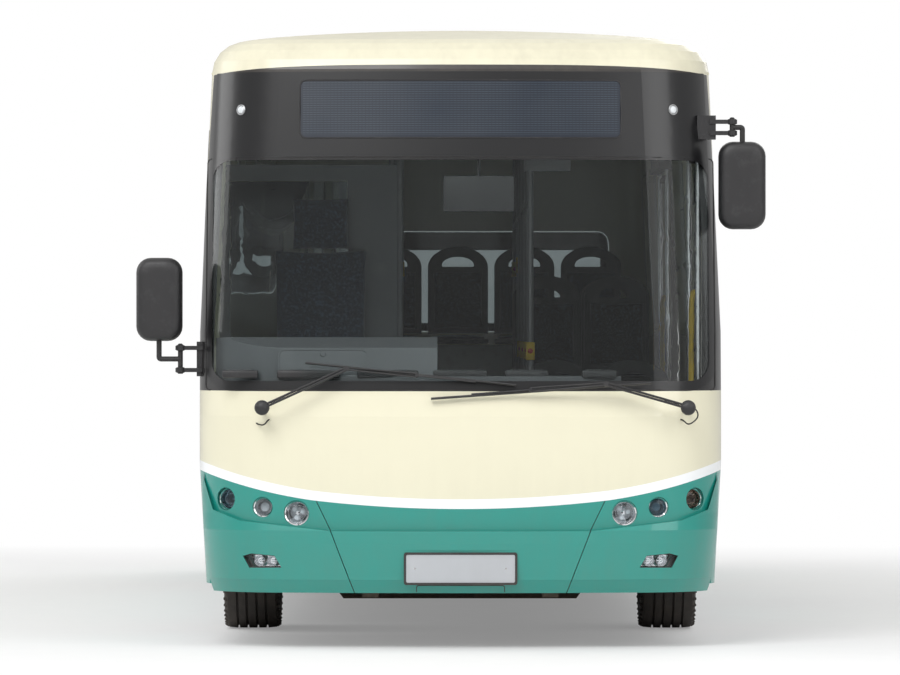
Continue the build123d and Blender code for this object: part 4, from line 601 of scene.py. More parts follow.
# %% Border helper
def border_skin(bm, source, keep_face, clear_areas, axes, lift):
    """Copy a pane's outer faces, cut round each clear area and keep the rest, lifted off the pane."""
    bm.from_mesh(nodes[source].data)
    bmesh.ops.remove_doubles(bm, verts=bm.verts, dist=0.00002)
    bmesh.ops.delete(bm, geom=[f for f in bm.faces if not keep_face(f)], context="FACES")
    u, v = axes
    inside = set()
    for points in clear_areas:
        lines = []
        for (x0, y0), (x1, y1) in zip(points, points[1:] + points[:1]):
            if (x1 - x0) ** 2 + (y1 - y0) ** 2 < 1e-10:
                continue
            normal = u * (y1 - y0) - v * (x1 - x0)
            lines.append((u * x0 + v * y0, normal.normalized()))
        xs = [p[0] for p in points]
        for place, normal in lines:
            near = [f for f in bm.faces if min(w.co.dot(u) for w in f.verts) < max(xs) + 0.001
                    and max(w.co.dot(u) for w in f.verts) > min(xs) - 0.001]
            geom = near + list({e for f in near for e in f.edges}) + list({w for f in near for w in f.verts})
            bmesh.ops.bisect_plane(bm, geom=geom, dist=0.00001, plane_co=place, plane_no=normal)
        drop = [f for f in bm.faces
                if all((f.calc_center_median() - place).dot(normal) < 0 for place, normal in lines)]
        bmesh.ops.delete(bm, geom=drop, context="FACES")
    bm.normal_update()
    for vert in bm.verts:
        vert.co += vert.normal * lift


X_AXIS, Z_AXIS = Vector((1, 0, 0)), Vector((0, 0, 1))

# %% Windscreen border
bm = bmesh.new()
clear = rounded(-1.185, 1.185, 1.268, 2.318, 0.09, steps=6)
border_skin(bm, "windscreen", lambda f: f.normal.y < -0.02 and abs(f.normal.z) < 0.9, [clear],
        (X_AXIS, Z_AXIS), 0.0006)
made = finish_piece(bm, "windscreen_border", "coach", header_black)
print("windscreen border faces", len(made.data.polygons))

# %% [markdown]
# ## Seals and small marks on the front
# A narrow rubber seal closes the joint round the windscreen, the display has a slim frame, and two
# little round lamps sit high in the black header.

# %% Windscreen seal and display frame
bm = bmesh.new()
seal_line = rounded(-1.214, 1.214, 1.224, 2.330, 0.02, steps=3)
points = []
for x, z in seal_line:
    hit, normal = front_at(x, z)
    points.append(hit + normal * 0.0005)
for start, end in zip(points, points[1:] + points[:1]):
    if (end - start).length > 0.0005:
        steps = max(1, int((end - start).length / 0.12))
        last = start
        for i in range(1, steps + 1):
            guess = start.lerp(end, i / steps)
            hit, normal = front_at(guess.x, guess.z)
            here = hit + normal * 0.0005
            bar(bm, last, here, 0.0035, sides=6)
            last = here
finish_piece(bm, "windscreen_seal", "coach", rubber)

bm = bmesh.new()
for outline in (rounded(-0.764, 0.764, 2.422, 2.698, 0.03, steps=4),):
    last = None
    for i in range(len(outline) + 1):
        x, z = outline[i % len(outline)]
        if last:
            run = sqrt((x - last[0]) ** 2 + (z - last[1]) ** 2)
            steps = max(1, int(run / 0.1))
            for k in range(steps):
                a = front_at(last[0] + (x - last[0]) * k / steps, last[1] + (z - last[1]) * k / steps)[0]
                b = front_at(last[0] + (x - last[0]) * (k + 1) / steps,
                        last[1] + (z - last[1]) * (k + 1) / steps)[0]
                if (a - b).length > 0.0005 and (a - b).length < 0.2:
                    bar(bm, a, b, 0.004, sides=6)
        last = (x, z)
finish_piece(bm, "display_frame", "coach", moulded_black)
print("seal points", len(points))

# %% [markdown]
# ## Headlamps
# Three round lamps sit in black cups on each side. Each real lamp has a bright reflector bowl, a
# bulb or projector in the middle, a silver ring and a lens with fine ribs. The reflector and the
# bulb are turned forms, and the lens is a low dome, so light bends at its edge.

# %% Lamp places
FACE_Y, FACE_R, CORNER_R = -5.205, 5.5, 0.4


def face_y(x, z):
    """The front's surface below the windscreen, as the CAD source draws it."""
    share = min(max((z - 0.3) / 0.58, 0), 1)
    half = 1.25 - 0.032 * (1 - share)
    face = FACE_Y + 0.012 - 0.008 * share
    cx = half - CORNER_R
    if abs(x) <= cx * FACE_R / (FACE_R - CORNER_R):
        return face + FACE_R - sqrt(FACE_R ** 2 - x ** 2)
    cy = face + FACE_R - sqrt((FACE_R - CORNER_R) ** 2 - cx ** 2)
    return cy - sqrt(CORNER_R ** 2 - (abs(x) - cx) ** 2)


HEADLAMPS = [  # name, distance from the middle, height, radius, lean
    ("outer", 1.097, 0.707, 0.050, 20.0),
    ("middle", 0.935, 0.670, 0.045, 9.0),
    ("inner", 0.775, 0.643, 0.057, 6.0),
]


def lamp_place(lamp, side):
    """Mouth and outward axis of a lamp cup."""
    name, x, z, radius, lean = lamp
    axis = Vector((side * sin(radians(lean)), -cos(radians(lean)), 0))
    return Vector((side * x, face_y(x + radius, z) + radius * sin(radians(lean)), z)), axis


print("inner lamp mouth", lamp_place(HEADLAMPS[2], LEFT)[0])

# %% Reflectors, bulbs and lenses
glow_white = finish("bulb_white", (0.75, 0.78, 0.8, 1), 0.25, grain=90, bump=0.1, grime_amount=0.0)
reflector, bulbs, rings = bmesh.new(), bmesh.new(), bmesh.new()
lens_sets = {"clear": bmesh.new(), "blue": bmesh.new(), "brown": bmesh.new()}
for side in (LEFT, RIGHT):
    for lamp in HEADLAMPS:
        name, x, z, r, lean = lamp
        mouth, axis = lamp_place(lamp, side)
        inner = mouth - axis * 0.018
        turned(reflector, [(r - 0.001, 0), (r * 0.86, -0.012), (r * 0.74, -0.03), (r * 0.5, -0.05),
                (r * 0.24, -0.06),
                           (0.004, -0.062)], inner, axis, steps=36)
        turned(rings, [(r + 0.004, -0.002), (r + 0.0055, 0.003), (r + 0.001, 0.006), (r - 0.004, 0.002),
                       (r - 0.006, -0.012), (r - 0.002, -0.016)], mouth - axis * 0.004, axis, steps=40)
        if name == "inner":
            for spoke in range(3):
                spot = Matrix.Rotation(radians(120 * spoke + 30), 4, axis) @ axis.orthogonal().normalized()
                turned(bulbs, [(0.0, 0.008), (0.009, 0.006), (0.013, 0.0), (0.014, -0.02)],
                       inner + spot * r * 0.42 - axis * 0.03, axis, steps=16)
        elif name == "middle":
            turned(bulbs, [(0.0, 0.012), (0.012, 0.009), (0.021, 0.0), (0.022, -0.03)],
                    inner - axis * 0.03, axis, 20)
        else:
            turned(bulbs, [(0.0, 0.01), (0.007, 0.006), (0.009, 0.0), (0.008, -0.03)], inner - axis * 0.03,
                    axis, 16)
        kind = {"inner": "clear", "middle": "clear" if side == RIGHT else "blue",
                "outer": "blue" if side == RIGHT else "brown"}[name]
        dome = [(0.0, 0.001), (r * 0.45, -0.0005), (r * 0.8, -0.005), (r - 0.0055, -0.0105),
                (r - 0.0055, -0.014),
                (r * 0.8, -0.009), (r * 0.45, -0.005), (0.0, -0.0035)]
        turned(lens_sets[kind], dome, mouth - axis * 0.004, axis, steps=40)
        for rib in range(1, 4):
            turned(rings, [(r * (0.2 + 0.2 * rib), -0.045 + 0.008 * rib),
                    (r * (0.22 + 0.2 * rib), -0.043 + 0.008 * rib),
                           (r * (0.24 + 0.2 * rib), -0.045 + 0.008 * rib)], inner, axis, steps=28)
finish_piece(reflector, "lamp_reflectors", "coach", chrome, crease=60)
finish_piece(rings, "lamp_rings", "coach", chrome)
finish_piece(bulbs, "lamp_bulbs", "coach", glow_white)
finish_piece(lens_sets["clear"], "lens_clear_front", "coach", lens_clear, stands_for=("lamp_lenses",))
finish_piece(lens_sets["blue"], "lens_blue_front", "coach", lens_blue)
finish_piece(lens_sets["brown"], "lens_brown_front", "coach", lens_brown)
print("headlamps", len(HEADLAMPS) * 2)

# %% [markdown]
# ## Marker lamps and fog lamps
# The marker lamps are small clear domes on the header. The fog lamps are five-sided: a bright
# bowl with two round reflectors behind a ribbed lens, deep in a dark surround.

# %% Marker lamps
bm = bmesh.new()
ring = bmesh.new()
for x, z in ((-1.046, 2.56), (1.013, 2.56)):
    hit, normal = front_at(x, z)
    turned(bm, [(0.0, 0.009), (0.01, 0.008), (0.017, 0.004), (0.019, -0.002)], hit + normal * 0.0015,
            normal, 24)
    turned(ring, [(0.0255, -0.001), (0.025, 0.004), (0.021, 0.006), (0.019, 0.002)], hit + normal * 0.001,
            normal, 28)
finish_piece(bm, "marker_lenses", "coach", glow_white)
finish_piece(ring, "marker_rings", "coach", silver_paint)

# %% Fog lamps
FOG = [(0.847, 0.386), (1.000, 0.384), (1.030, 0.440), (0.990, 0.452), (0.880, 0.442)]
fog_lens, fog_bowl, fog_rim = bmesh.new(), bmesh.new(), bmesh.new()
for side in (LEFT, RIGHT):
    outline = [(side * x, z) for x, z in FOG]
    if side == LEFT:
        outline.reverse()
    a, b = front_at(side * 0.83, 0.415)[0], front_at(side * 1.045, 0.415)[0]
    across = (b - a) if side == LEFT else (a - b)
    lean = Vector((across.x, across.y, 0)).normalized()
    flat = grid_frame((0, 0, 0), lean, (0, 0, 1))
    mid = (a + b) / 2

    def on_lamp(x, z, depth):
        """A place on the fog lamp's leaning face."""
        spot = mid + lean * ((x - mid.x) / lean.x)
        out = Vector((lean.y, -lean.x, 0))
        return Vector((spot.x, spot.y, z)) + out * depth

    def panel(bm, points, depth, thickness):
        """A plate across the fog lamp at a depth behind its face."""
        verts = [bm.verts.new(on_lamp(x, z, depth)) for x, z in points]
        made = bmesh.ops.extrude_face_region(bm, geom=[bm.faces.new(verts)])["geom"]
        out = Vector((lean.y, -lean.x, 0))
        bmesh.ops.translate(bm, vec=out * thickness, verts=[v for v in made if isinstance(v,
                bmesh.types.BMVert)])

    center_x = sum(x for x, z in outline) / 5
    small = [(center_x + (x - center_x) * 0.97, 0.419 + (z - 0.419) * 0.93) for x, z in outline]
    panel(fog_lens, small, -0.022, 0.005)
    panel(fog_bowl, outline, -0.075, 0.004)
    for spot_x in (0.905, 0.965):
        out = Vector((lean.y, -lean.x, 0))
        turned(fog_bowl, [(0.026, 0.03), (0.024, 0.016), (0.015, 0.004), (0.0, 0.0)],
               on_lamp(side * spot_x, 0.416, -0.068), out, 24)
        turned(fog_bowl, [(0.0, 0.018), (0.006, 0.015), (0.007, 0.0)],
                on_lamp(side * spot_x, 0.416, -0.066), out, 14)
    for (x0, z0), (x1, z1) in zip(outline, outline[1:] + outline[:1]):
        bar(fog_rim, on_lamp(x0, z0, -0.018), on_lamp(x1, z1, -0.018), 0.0045, sides=8)
finish_piece(fog_lens, "fog_lenses", "coach", lens_clear)
finish_piece(fog_bowl, "fog_reflectors", "coach", chrome)
finish_piece(fog_rim, "fog_surrounds", "coach", moulded_black)
print("fog lamps 2")

# %% [markdown]
# ## Number plate and tow cover
# Both plates stay blank: a pressed pale plate with a raised rim in a black frame, held by two
# screws. The front one sits on the bumper and the rear one on the engine hatch. Below the front
# one a small cover hides the towing eye; only its thin outline shows.

# %% Number plates, front and rear
front_flat = grid_frame((0, front_at(0, 0.38)[0].y - 0.001, 0), (1, 0, 0), (0, 0, 1))
rear_low, rear_high = rear_at(0, 0.74)[0], rear_at(0, 0.86)[0]
rear_flat = grid_frame((0, max(rear_low.y, rear_high.y) + 0.0005, 0), (-1, 0, 0), (0, 0, 1))
for name, at, z, body in (("front", front_flat, 0.383, "coach"), ("rear", rear_flat, 0.80, "engine_hatch")):
    plate_bm, plate_frame, screws = bmesh.new(), bmesh.new(), bmesh.new()
    ring_plate(plate_frame, rounded(-0.268, 0.268, z - 0.077, z + 0.077, 0.012),
               rounded(-0.257, 0.257, z - 0.066, z + 0.066, 0.008), at, 0.0065)
    plate(plate_bm, rounded(-0.258, 0.258, z - 0.067, z + 0.067, 0.01),
            at @ Matrix.Translation((0, 0, 0.002)), 0.0025)
    ring_plate(plate_bm, rounded(-0.253, 0.253, z - 0.062, z + 0.062, 0.008),
               rounded(-0.247, 0.247, z - 0.056, z + 0.056, 0.006),
                       at @ Matrix.Translation((0, 0, 0.0035)), 0.0018)
    out = at.to_3x3() @ Vector((0, 0, 1))
    for x in (-0.215, 0.215):
        turned(screws, [(0.0, 0.0022), (0.004, 0.0018), (0.006, 0.0)], at @ Vector((x, z, 0.0042)), out, 14)
    finish_piece(plate_bm, f"number_plate_{name}", body, plate_white)
    finish_piece(plate_frame, f"number_plate_frame_{name}", body, moulded_black)
    finish_piece(screws, f"number_plate_screws_{name}", body, bright_steel)
print("plate faces", round(front_flat.translation.y, 4), round(rear_flat.translation.y, 4))

# %% Tow cover outline
bm = bmesh.new()
last = None
for x, z in ((-0.208, 0.272), (-0.208, 0.296), (-0.2, 0.303), (0.0, 0.303), (0.2, 0.303), (0.208, 0.296),
        (0.208, 0.272)):
    here = front_at(x, z)[0]
    if last:
        bar(bm, last, here, 0.0022, sides=6)
    last = here
finish_piece(bm, "tow_cover_outline", "coach", rubber)

# %% [markdown]
# ## Wipers
# Each wiper turns on a capped shaft. A thick arm rises to an elbow, then two thin rods carry the
# blade, which is a slim spine with claws and a rubber lip. The detailed wipers stand for the
# packed ones and keep their places over the glass.

# %% Wiper places
RAKE = radians(7.1)
glass_mid = FACE_Y + 0.12 * (sin(RAKE) / cos(RAKE))
wiper_out = Vector((0, -cos(RAKE), sin(RAKE)))
wiper_up = Vector((0, sin(RAKE), cos(RAKE)))


def over_glass(x, z, lift):
    """A place over the glass, lifted along the wipers' axis."""
    return Vector((x, glass_mid, 1.22)) + wiper_up * ((z - 1.22) / cos(RAKE)) + wiper_out * lift


WIPERS = [
    ("right", -0.937, [(-0.538, 1.322), (-0.206, 1.290)], [(-0.733, 1.352), (0.262, 1.246)]),
    ("left", 1.074, [(0.686, 1.250), (0.330, 1.222)], [(-0.140, 1.182), (0.899, 1.256)]),
]
ARM_LIFT = 0.046
print("glass middle y", round(glass_mid, 4))

# %% Wiper arms and blades
for name, pivot_x, arm, blade in WIPERS:
    bm = bmesh.new()
    pivot = over_glass(pivot_x, 1.139, ARM_LIFT)
    bar(bm, over_glass(pivot_x, 1.139, -0.12), pivot, 0.012)
    turned(bm, [(0.0, 0.012), (0.014, 0.011), (0.026, 0.006), (0.034, -0.002), (0.036, -0.014),
            (0.03, -0.016),
                (0.012, -0.016)], pivot, wiper_out, 32)
    elbow, tip = over_glass(*arm[0], ARM_LIFT), over_glass(*arm[1], ARM_LIFT)
    way = (elbow - pivot).normalized()
    flat = way.cross(wiper_out)
    for shift in (-0.006, 0.006):
        bar(bm, pivot + way * 0.02 + flat * shift, elbow + flat * shift, 0.0055, sides=10)
    box(bm, pivot - Vector((0.03, 0.008, 0.012)), pivot + Vector((0.03, 0.008, 0.012)), 0.004)
    for i in range(9):
        spot = pivot + way * (0.05 + 0.008 * i)
        bar(bm, spot - flat * 0.008, spot + flat * 0.008, 0.0035, sides=8)
    bar(bm, elbow - wiper_out * 0.01, elbow + wiper_out * 0.01, 0.012)
    reach = (tip - elbow).normalized()
    flat = reach.cross(wiper_out)
    for shift in (-0.009, 0.009):
        bar(bm, elbow + flat * shift * 0.6, tip + flat * shift, 0.0035, sides=8)
    bar(bm, over_glass(*arm[1], 0.03), over_glass(*arm[1], ARM_LIFT + 0.008), 0.009)
    start, end = over_glass(*blade[0], 0.031), over_glass(*blade[1], 0.031)
    run = (end - start).normalized()
    cross = run.cross(wiper_out)
    bar(bm, start, end, 0.0045, sides=8)
    for share in (0.03, 0.2, 0.37, 0.54, 0.71, 0.88, 0.97):
        spot = start.lerp(end, share)
        bar(bm, spot, spot - wiper_out * 0.012, 0.005, sides=8)
    mid = over_glass(*arm[1], 0.036)
    for way_out in (-1, 1):
        pipe(bm, [mid, mid + run * way_out * 0.12 + wiper_out * 0.004,
                mid + run * way_out * 0.28 - wiper_out * 0.004],
             0.0045)
    lip_low, lip_high = over_glass(*blade[0], 0.013), over_glass(*blade[1], 0.013)
    for lift, width in ((0.0, 0.0022), (0.005, 0.0045), (0.01, 0.006)):
        bar(bm, lip_low + wiper_out * lift, lip_high + wiper_out * lift, width, sides=8)
    finish_piece(bm, f"wiper_detail_{name}", f"wiper_{name}", moulded_black, stands_for=(f"wiper_{name}",))
    print("wiper", name, "reach", round((tip - pivot).length, 3))

# %% Washer pipes and shaft collars
bm = bmesh.new()
for name, pivot_x, arm, blade in WIPERS:
    hit, normal = front_at(pivot_x, 1.139)
    turned(bm, [(0.032, -0.004), (0.031, 0.006), (0.024, 0.01), (0.015, 0.011)], hit, normal, 28)
    side = 1 if pivot_x > 0 else -1
    foot, foot_out = front_at(pivot_x - side * 0.03, 1.085)
    pipe(bm, [foot - foot_out * 0.004, foot + foot_out * 0.02,
            foot + foot_out * 0.035 + Vector((side * 0.02, 0, -0.03)),
              hit + normal * 0.03 + Vector((side * 0.05, 0, -0.035)),
                      hit + normal * 0.012 + Vector((side * 0.028, 0, 0))],
         0.0035)
finish_piece(bm, "washer_pipes", "coach", rubber)

# %% [markdown]
# ## The dashboard
# Through the windscreen the dashboard shows as a broad grey moulding: a hump before the driver
# with a service lid let into its slope, and a row of low air outlets along the shelf. They are
# shallow plates and slatted frames laid on the CAD's shelf.

# %% Lid and air outlets
bm = bmesh.new()
slope_up = Vector((0, 0.06, 0.135)).normalized()
lid_at = grid_frame((-0.652, -5.0805, 1.357), (1, 0, 0), slope_up)
ring_plate(bm, rounded(-0.214, 0.214, -0.062, 0.066, 0.03), rounded(-0.207, 0.207, -0.055, 0.059, 0.025),
        lid_at, 0.004)
plate(bm, rounded(-0.205, 0.205, -0.053, 0.057, 0.024), lid_at, 0.003)
turned(bm, [(0.0, 0.006), (0.012, 0.005), (0.015, 0.0)], lid_at @ Vector((0, 0.04, 0.003)),
       lid_at.to_3x3() @ Vector((0, 0, 1)), 20)
finish_piece(bm, "dash_lid", "coach", dash_grey)

OUTLETS = [(-1.13, -0.96), (-0.87, -0.57), (-0.49, -0.20), (-0.13, 0.125), (0.21, 0.415), (0.576, 0.74)]
frames, slats = bmesh.new(), bmesh.new()
for x0, x1 in OUTLETS:
    low = -5.128 if x1 < -0.1 else -5.12
    box(frames, (x0, low, 1.282), (x1, low + 0.075, 1.318), 0.008)
    for i in range(int((x1 - x0 - 0.03) / 0.014)):
        x = x0 + 0.018 + 0.014 * i
        box(slats, (x, low + 0.008, 1.316), (x + 0.005, low + 0.067, 1.323))
finish_piece(frames, "air_outlets", "coach", moulded_black)
finish_piece(slats, "air_outlet_slats", "coach", dash_grey)
print("air outlets", len(OUTLETS))

# %% [markdown]
# ## Instruments and steering wheel
# The wheel's rim is a thick moulded grip. It is turned as a ring about the wheel's own leaning
# axis and rides on the steering joint. The instrument hood with its dials stands ahead of it.

# %% Steering wheel and instruments
WHEEL_AT = Vector((-0.690, -4.490, 1.300))
wheel_axis = Vector((0, sin(radians(32)), cos(radians(32))))
bm = bmesh.new()
ring = [(0.225 + 0.0125 * cos(2 * pi * i / 14), 0.0125 * sin(2 * pi * i / 14)) for i in range(15)]
turned(bm, ring, WHEEL_AT, wheel_axis, 64)
turned(bm, [(0.0, -0.004), (0.035, -0.006), (0.055, -0.014), (0.06, -0.03), (0.05, -0.046), (0.0, -0.047)],
        WHEEL_AT,
       wheel_axis, 36)
across = Vector((1, 0, 0))
up = wheel_axis.cross(across)
for turn in (0, 180, 270):
    way = across * cos(radians(turn)) + up * sin(radians(turn))
    for shift in (-0.012, 0.012):
        flat = wheel_axis.cross(way) * shift
        bar(bm, WHEEL_AT + way * 0.045 - wheel_axis * 0.024 + flat, WHEEL_AT + way * 0.222 + flat * 0.6,
                0.008, 12)
finish_piece(bm, "steering_wheel_grip", "steering_wheel", moulded_black, stands_for=("steering_wheel",))

bm = bmesh.new()
dials = bmesh.new()
hood_at = grid_frame((-0.69, -4.772, 1.425), (1, 0, 0), (0, -0.45, 0.9))
plate(bm, rounded(-0.2, 0.2, -0.07, 0.035, 0.03), hood_at, 0.02)
for x, r in ((-0.09, 0.042), (0.09, 0.042), (0.0, 0.026)):
    at = hood_at @ Vector((x, -0.02, 0.02))
    out = hood_at.to_3x3() @ Vector((0, 0, 1))
    turned(dials, [(0.0, 0.001), (r - 0.004, 0.001), (r, 0.004), (r + 0.003, 0.0)], at, out, 28)
finish_piece(bm, "instrument_hood", "coach", moulded_black)
finish_piece(dials, "instrument_dials", "coach", silver_paint)
print("steering wheel radius 0.2375 m")

# %% [markdown]
# ## Cushions
# A cushion is a crowned, closed form: it is thickest in the middle, its sides pull in between the
# corners, and a sewn channel presses a line into it. We start from a box cut into a grid of
# faces, then move each point: out by a crown that fades to the edges, and in along the channels.


# %% Cushion helper and cloth
def cushion(bm, at, width, height, depth, crown, channels=(), cuts=9):
    """A crowned pad; its drawing lies in at's X and Y, and its thickness in Z."""
    pad = bmesh.new()
    bmesh.ops.create_cube(pad, size=1.0)
    bmesh.ops.subdivide_edges(pad, edges=pad.edges[:], cuts=cuts, use_grid_fill=True)
    for vert in pad.verts:
        u, v, w = vert.co.x * 2, vert.co.y * 2, vert.co.z * 2
        swell = (1 - u ** 4) * (1 - v ** 4)
        along = 1 - v * v if abs(u) > 0.99 else 1 - u * u
        pull = 1 - 0.035 * along * (1 if max(abs(u), abs(v)) > 0.99 else 0)
        squeeze = 1 - 0.06 * abs(w) ** 3
        x = u * width / 2 * pull * squeeze
        y = v * height / 2 * pull * squeeze
        z = w * depth / 2 * (0.62 + 0.38 * swell)
        if w > 0:
            z += crown * swell
            for line in channels:
                z -= 0.012 * max(0.0, 1 - abs(v - line) / 0.16) * swell
        vert.co = at @ Vector((x, y, z))
    made = bpy.data.meshes.new("pad")
    pad.to_mesh(made)
    pad.free()
    bm.from_mesh(made)
    bpy.data.meshes.remove(made)


cloth, tree, shader = start_material("seat_cloth")
where, x, y, z = place_xyz(tree)
threads = node(tree, "ShaderNodeTexWave", {"wave_type": "BANDS", "bands_direction": "X"}, Vector=where,
        Scale=160.0)
cross = node(tree, "ShaderNodeTexWave", {"wave_type": "BANDS", "bands_direction": "Z"}, Vector=where,
        Scale=160.0)
weave = calc(tree, "MULTIPLY", threads.outputs[1], cross.outputs[1])
fleck = node(tree, "ShaderNodeTexNoise", Vector=where, Scale=90.0, Detail=3.0)
base = blend(tree, calc(tree, "GREATER_THAN", fleck.outputs[0], 0.56), (0.022, 0.028, 0.045, 1),
        (0.05, 0.07, 0.11, 1))
tree.links.new(blend(tree, weave, base, (0.012, 0.014, 0.02, 1)), shader.inputs["Base Color"])
shader.inputs["Roughness"].default_value = 0.85
shader.inputs["Sheen Weight"].default_value = 0.4
relief = node(tree, "ShaderNodeBump", Height=weave, Strength=0.35, Distance=0.001)
tree.links.new(relief.outputs[0], shader.inputs["Normal"])
print("cloth ready")

# %% Driver's seat
for name, at, width, height, depth, crown, channels in (
    ("driver_cushion", grid_frame((-0.69, -4.02, 1.205), (1, 0, 0), (0, 1, 0)), 0.47, 0.43, 0.10, 0.012,
            (-0.35, 0.35)),
    ("driver_backrest", grid_frame((-0.69, -3.746, 1.535), (1, 0, 0), (0, 0, 1)), 0.45, 0.74, 0.095, 0.008,
     (-0.4, 0.1, 0.55)),
    ("driver_headrest", grid_frame((-0.69, -3.737, 2.035), (1, 0, 0), (0, 0, 1)), 0.275, 0.25, 0.08, 0.006,
            ()),
):
    bm = bmesh.new()
    cushion(bm, at, width, height, depth, crown, channels)
    if name != "driver_cushion":
        bmesh.ops.scale(bm, vec=(1, -1, 1), verts=bm.verts,
                space=Matrix.Translation((0, -at.translation.y, 0)))
    finish_piece(bm, name, "coach", cloth, crease=80)
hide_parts("driver_cushions")
bm = bmesh.new()
for x in (-0.76, -0.62):
    bar(bm, (x, -3.742, 1.88), (x, -3.742, 1.94), 0.007)
box(bm, (-0.9, -3.7, 1.2), (-0.48, -3.694, 1.88), 0.002)
for x in (-0.945, -0.445):
    box(bm, (x - 0.012 if x < -0.7 else x - 0.024, -4.02, 1.36),
            (x + 0.024 if x < -0.7 else x + 0.012, -3.79, 1.4), 0.012)
    bar(bm, (x + (0.006 if x < -0.7 else -0.006), -3.8, 1.38), (-0.88 if x < -0.7 else -0.5, -3.76, 1.42),
            0.009)
finish_piece(bm, "driver_seat_frame", "coach", moulded_black)

# %% [markdown]
# ## Passenger seats
# Each seat is one moulded shell whose back has an arched top with a slot for the hand. Thin cloth
# pads are set into it. One seat is drawn, then its mesh is copied to every place, so the whole
# set is two pieces: shells and pads.

# %% One seat, copied to all places
SEAT_ROWS = [(-1, -2.05, 0.36), (-1, -1.28, 0.36), (-1, -0.51, 0.36), (-1, 0.26, 0.36), (1, -2.05, 0.36),
             (1, -1.28, 0.36), (-1, 1.56, 0.84), (-1, 2.33, 0.84), (-1, 3.10, 0.84), (1, 1.56, 0.84),
             (1, 2.33, 0.84), (1, 3.10, 0.84)]
seat_places = [(side * x, y, z) for side, y, z in SEAT_ROWS for x in (0.52, 0.925)]
seat_places += [(x, 4.56, 1.05) for x in (-0.84, -0.42, 0.0, 0.42, 0.84)]


def seat_shell_mesh(bm, x, y, floor_z):
    """The moulded shell of one seat."""
    back_at = grid_frame((x, y + 0.448, floor_z), (1, 0, 0), (0, 0, 1))
    arch = [(0.19 * cos(pi * i / 16), 0.86 + 0.128 * sin(pi * i / 16)) for i in range(17)]
    outer = [(-0.19, 0.44), (0.19, 0.44)] + arch
    inner = [(-0.168, 0.46), (0.168, 0.46)] + [(0.168 * cos(pi * i / 16), 0.86 + 0.106 * sin(pi * i / 16))
                                               for i in range(17)]
    ring_plate(bm, outer, inner, back_at, 0.034)
    slot = [(0.1 * cos(pi * i / 16), 0.875 + 0.05 * sin(pi * i / 16)) for i in range(17)]
    hole = [(-0.1, 0.862), (0.1, 0.862)] + slot
    body = [(-0.169, 0.459), (0.169, 0.459)] + [(0.169 * cos(pi * i / 16), 0.86 + 0.107 * sin(pi * i / 16))
                                                for i in range(17)]
    ring_plate(bm, body, hole, back_at @ Matrix.Translation((0, 0, 0.006)), 0.016)
    plate(bm, [(-0.101, 0.4595), (0.101, 0.4595), (0.101, 0.8625), (-0.101, 0.8625)],
          back_at @ Matrix.Translation((0, 0, 0.0065)), 0.015)
    box(bm, (x - 0.19, y + 0.004, floor_z + 0.386), (x + 0.19, y + 0.452, floor_z + 0.405), 0.008)
    box(bm, (x - 0.192, y + 0.0, floor_z + 0.375), (x + 0.192, y + 0.03, floor_z + 0.408), 0.01)


shells, pads, legs = bmesh.new(), bmesh.new(), bmesh.new()
for x, y, floor_z in seat_places:
    seat_shell_mesh(shells, x, y, floor_z)
    cushion(pads, grid_frame((x, y + 0.215, floor_z + 0.412), (1, 0, 0), (0, 1, 0)), 0.34, 0.36, 0.03,
            0.004, (), 5)
    cushion(pads, grid_frame((x, y + 0.41, floor_z + 0.65), (-1, 0, 0), (0, 0, 1)) , 0.31, 0.36, 0.03,
            0.003, (), 5)
for side, y, floor_z in SEAT_ROWS:
    z = floor_z + 0.37
    x0, x1 = sorted((side * 0.40, side * 1.122))
    box(legs, (x0, y + 0.17, z - 0.05), (x1, y + 0.22, z), 0.006)
    x0, x1 = sorted((side * 0.42, side * 0.47))
    box(legs, (x0, y + 0.14, floor_z), (x1, y + 0.30, z), 0.012)
    x0, x1 = sorted((side * 0.40, side * 0.49))
    box(legs, (x0, y + 0.1, floor_z), (x1, y + 0.34, floor_z + 0.012), 0.004)
box(legs, (-1.03, 4.58, 1.05), (1.03, 4.96, 1.42), 0.01)
finish_piece(shells, "seat_shells", "coach", seat_shell, stands_for=("passenger_seats",))
made = finish_piece(pads, "seat_pads", "coach", cloth, crease=80)
finish_piece(legs, "seat_legs", "coach", silver_paint)
print("seats", len(seat_places))

# %% [markdown]
# ## Small cabin fittings
# A mirror over the driver, clear panes in the screen behind the seat, light strips along the
# ceiling, call buttons on the poles and ribs on the step edges complete what shows through the
# windows.

# %% Mirror, panes, lights and buttons
bm = bmesh.new()
box(bm, (-0.083, -4.99, 2.07), (0.258, -4.965, 2.245), 0.012)
bar(bm, (0.0875, -4.975, 2.24), (0.0875, -4.95, 2.4), 0.008)
finish_piece(bm, "cabin_mirror_case", "coach", moulded_black)
bm = bmesh.new()
box(bm, (-1.148, -3.634, 1.452), (-0.562, -3.626, 2.248), 0.002)
finish_piece(bm, "partition_pane", "coach", screen_glass)
bm = bmesh.new()
for side in (LEFT, RIGHT):
    for y0, y1 in ((-4.2, -2.4), (-1.4, 1.9), (3.0, 4.6)):
        box(bm, (side * 0.62 - 0.07, y0, 2.845), (side * 0.62 + 0.07, y1, 2.862), 0.006)
light_strip = finish("light_strip", (0.8, 0.82, 0.82, 1), 0.4, grain=200, bump=0.1, grime_amount=0.0)
finish_piece(bm, "light_strips", "coach", light_strip)
bm, buttons = bmesh.new(), bmesh.new()
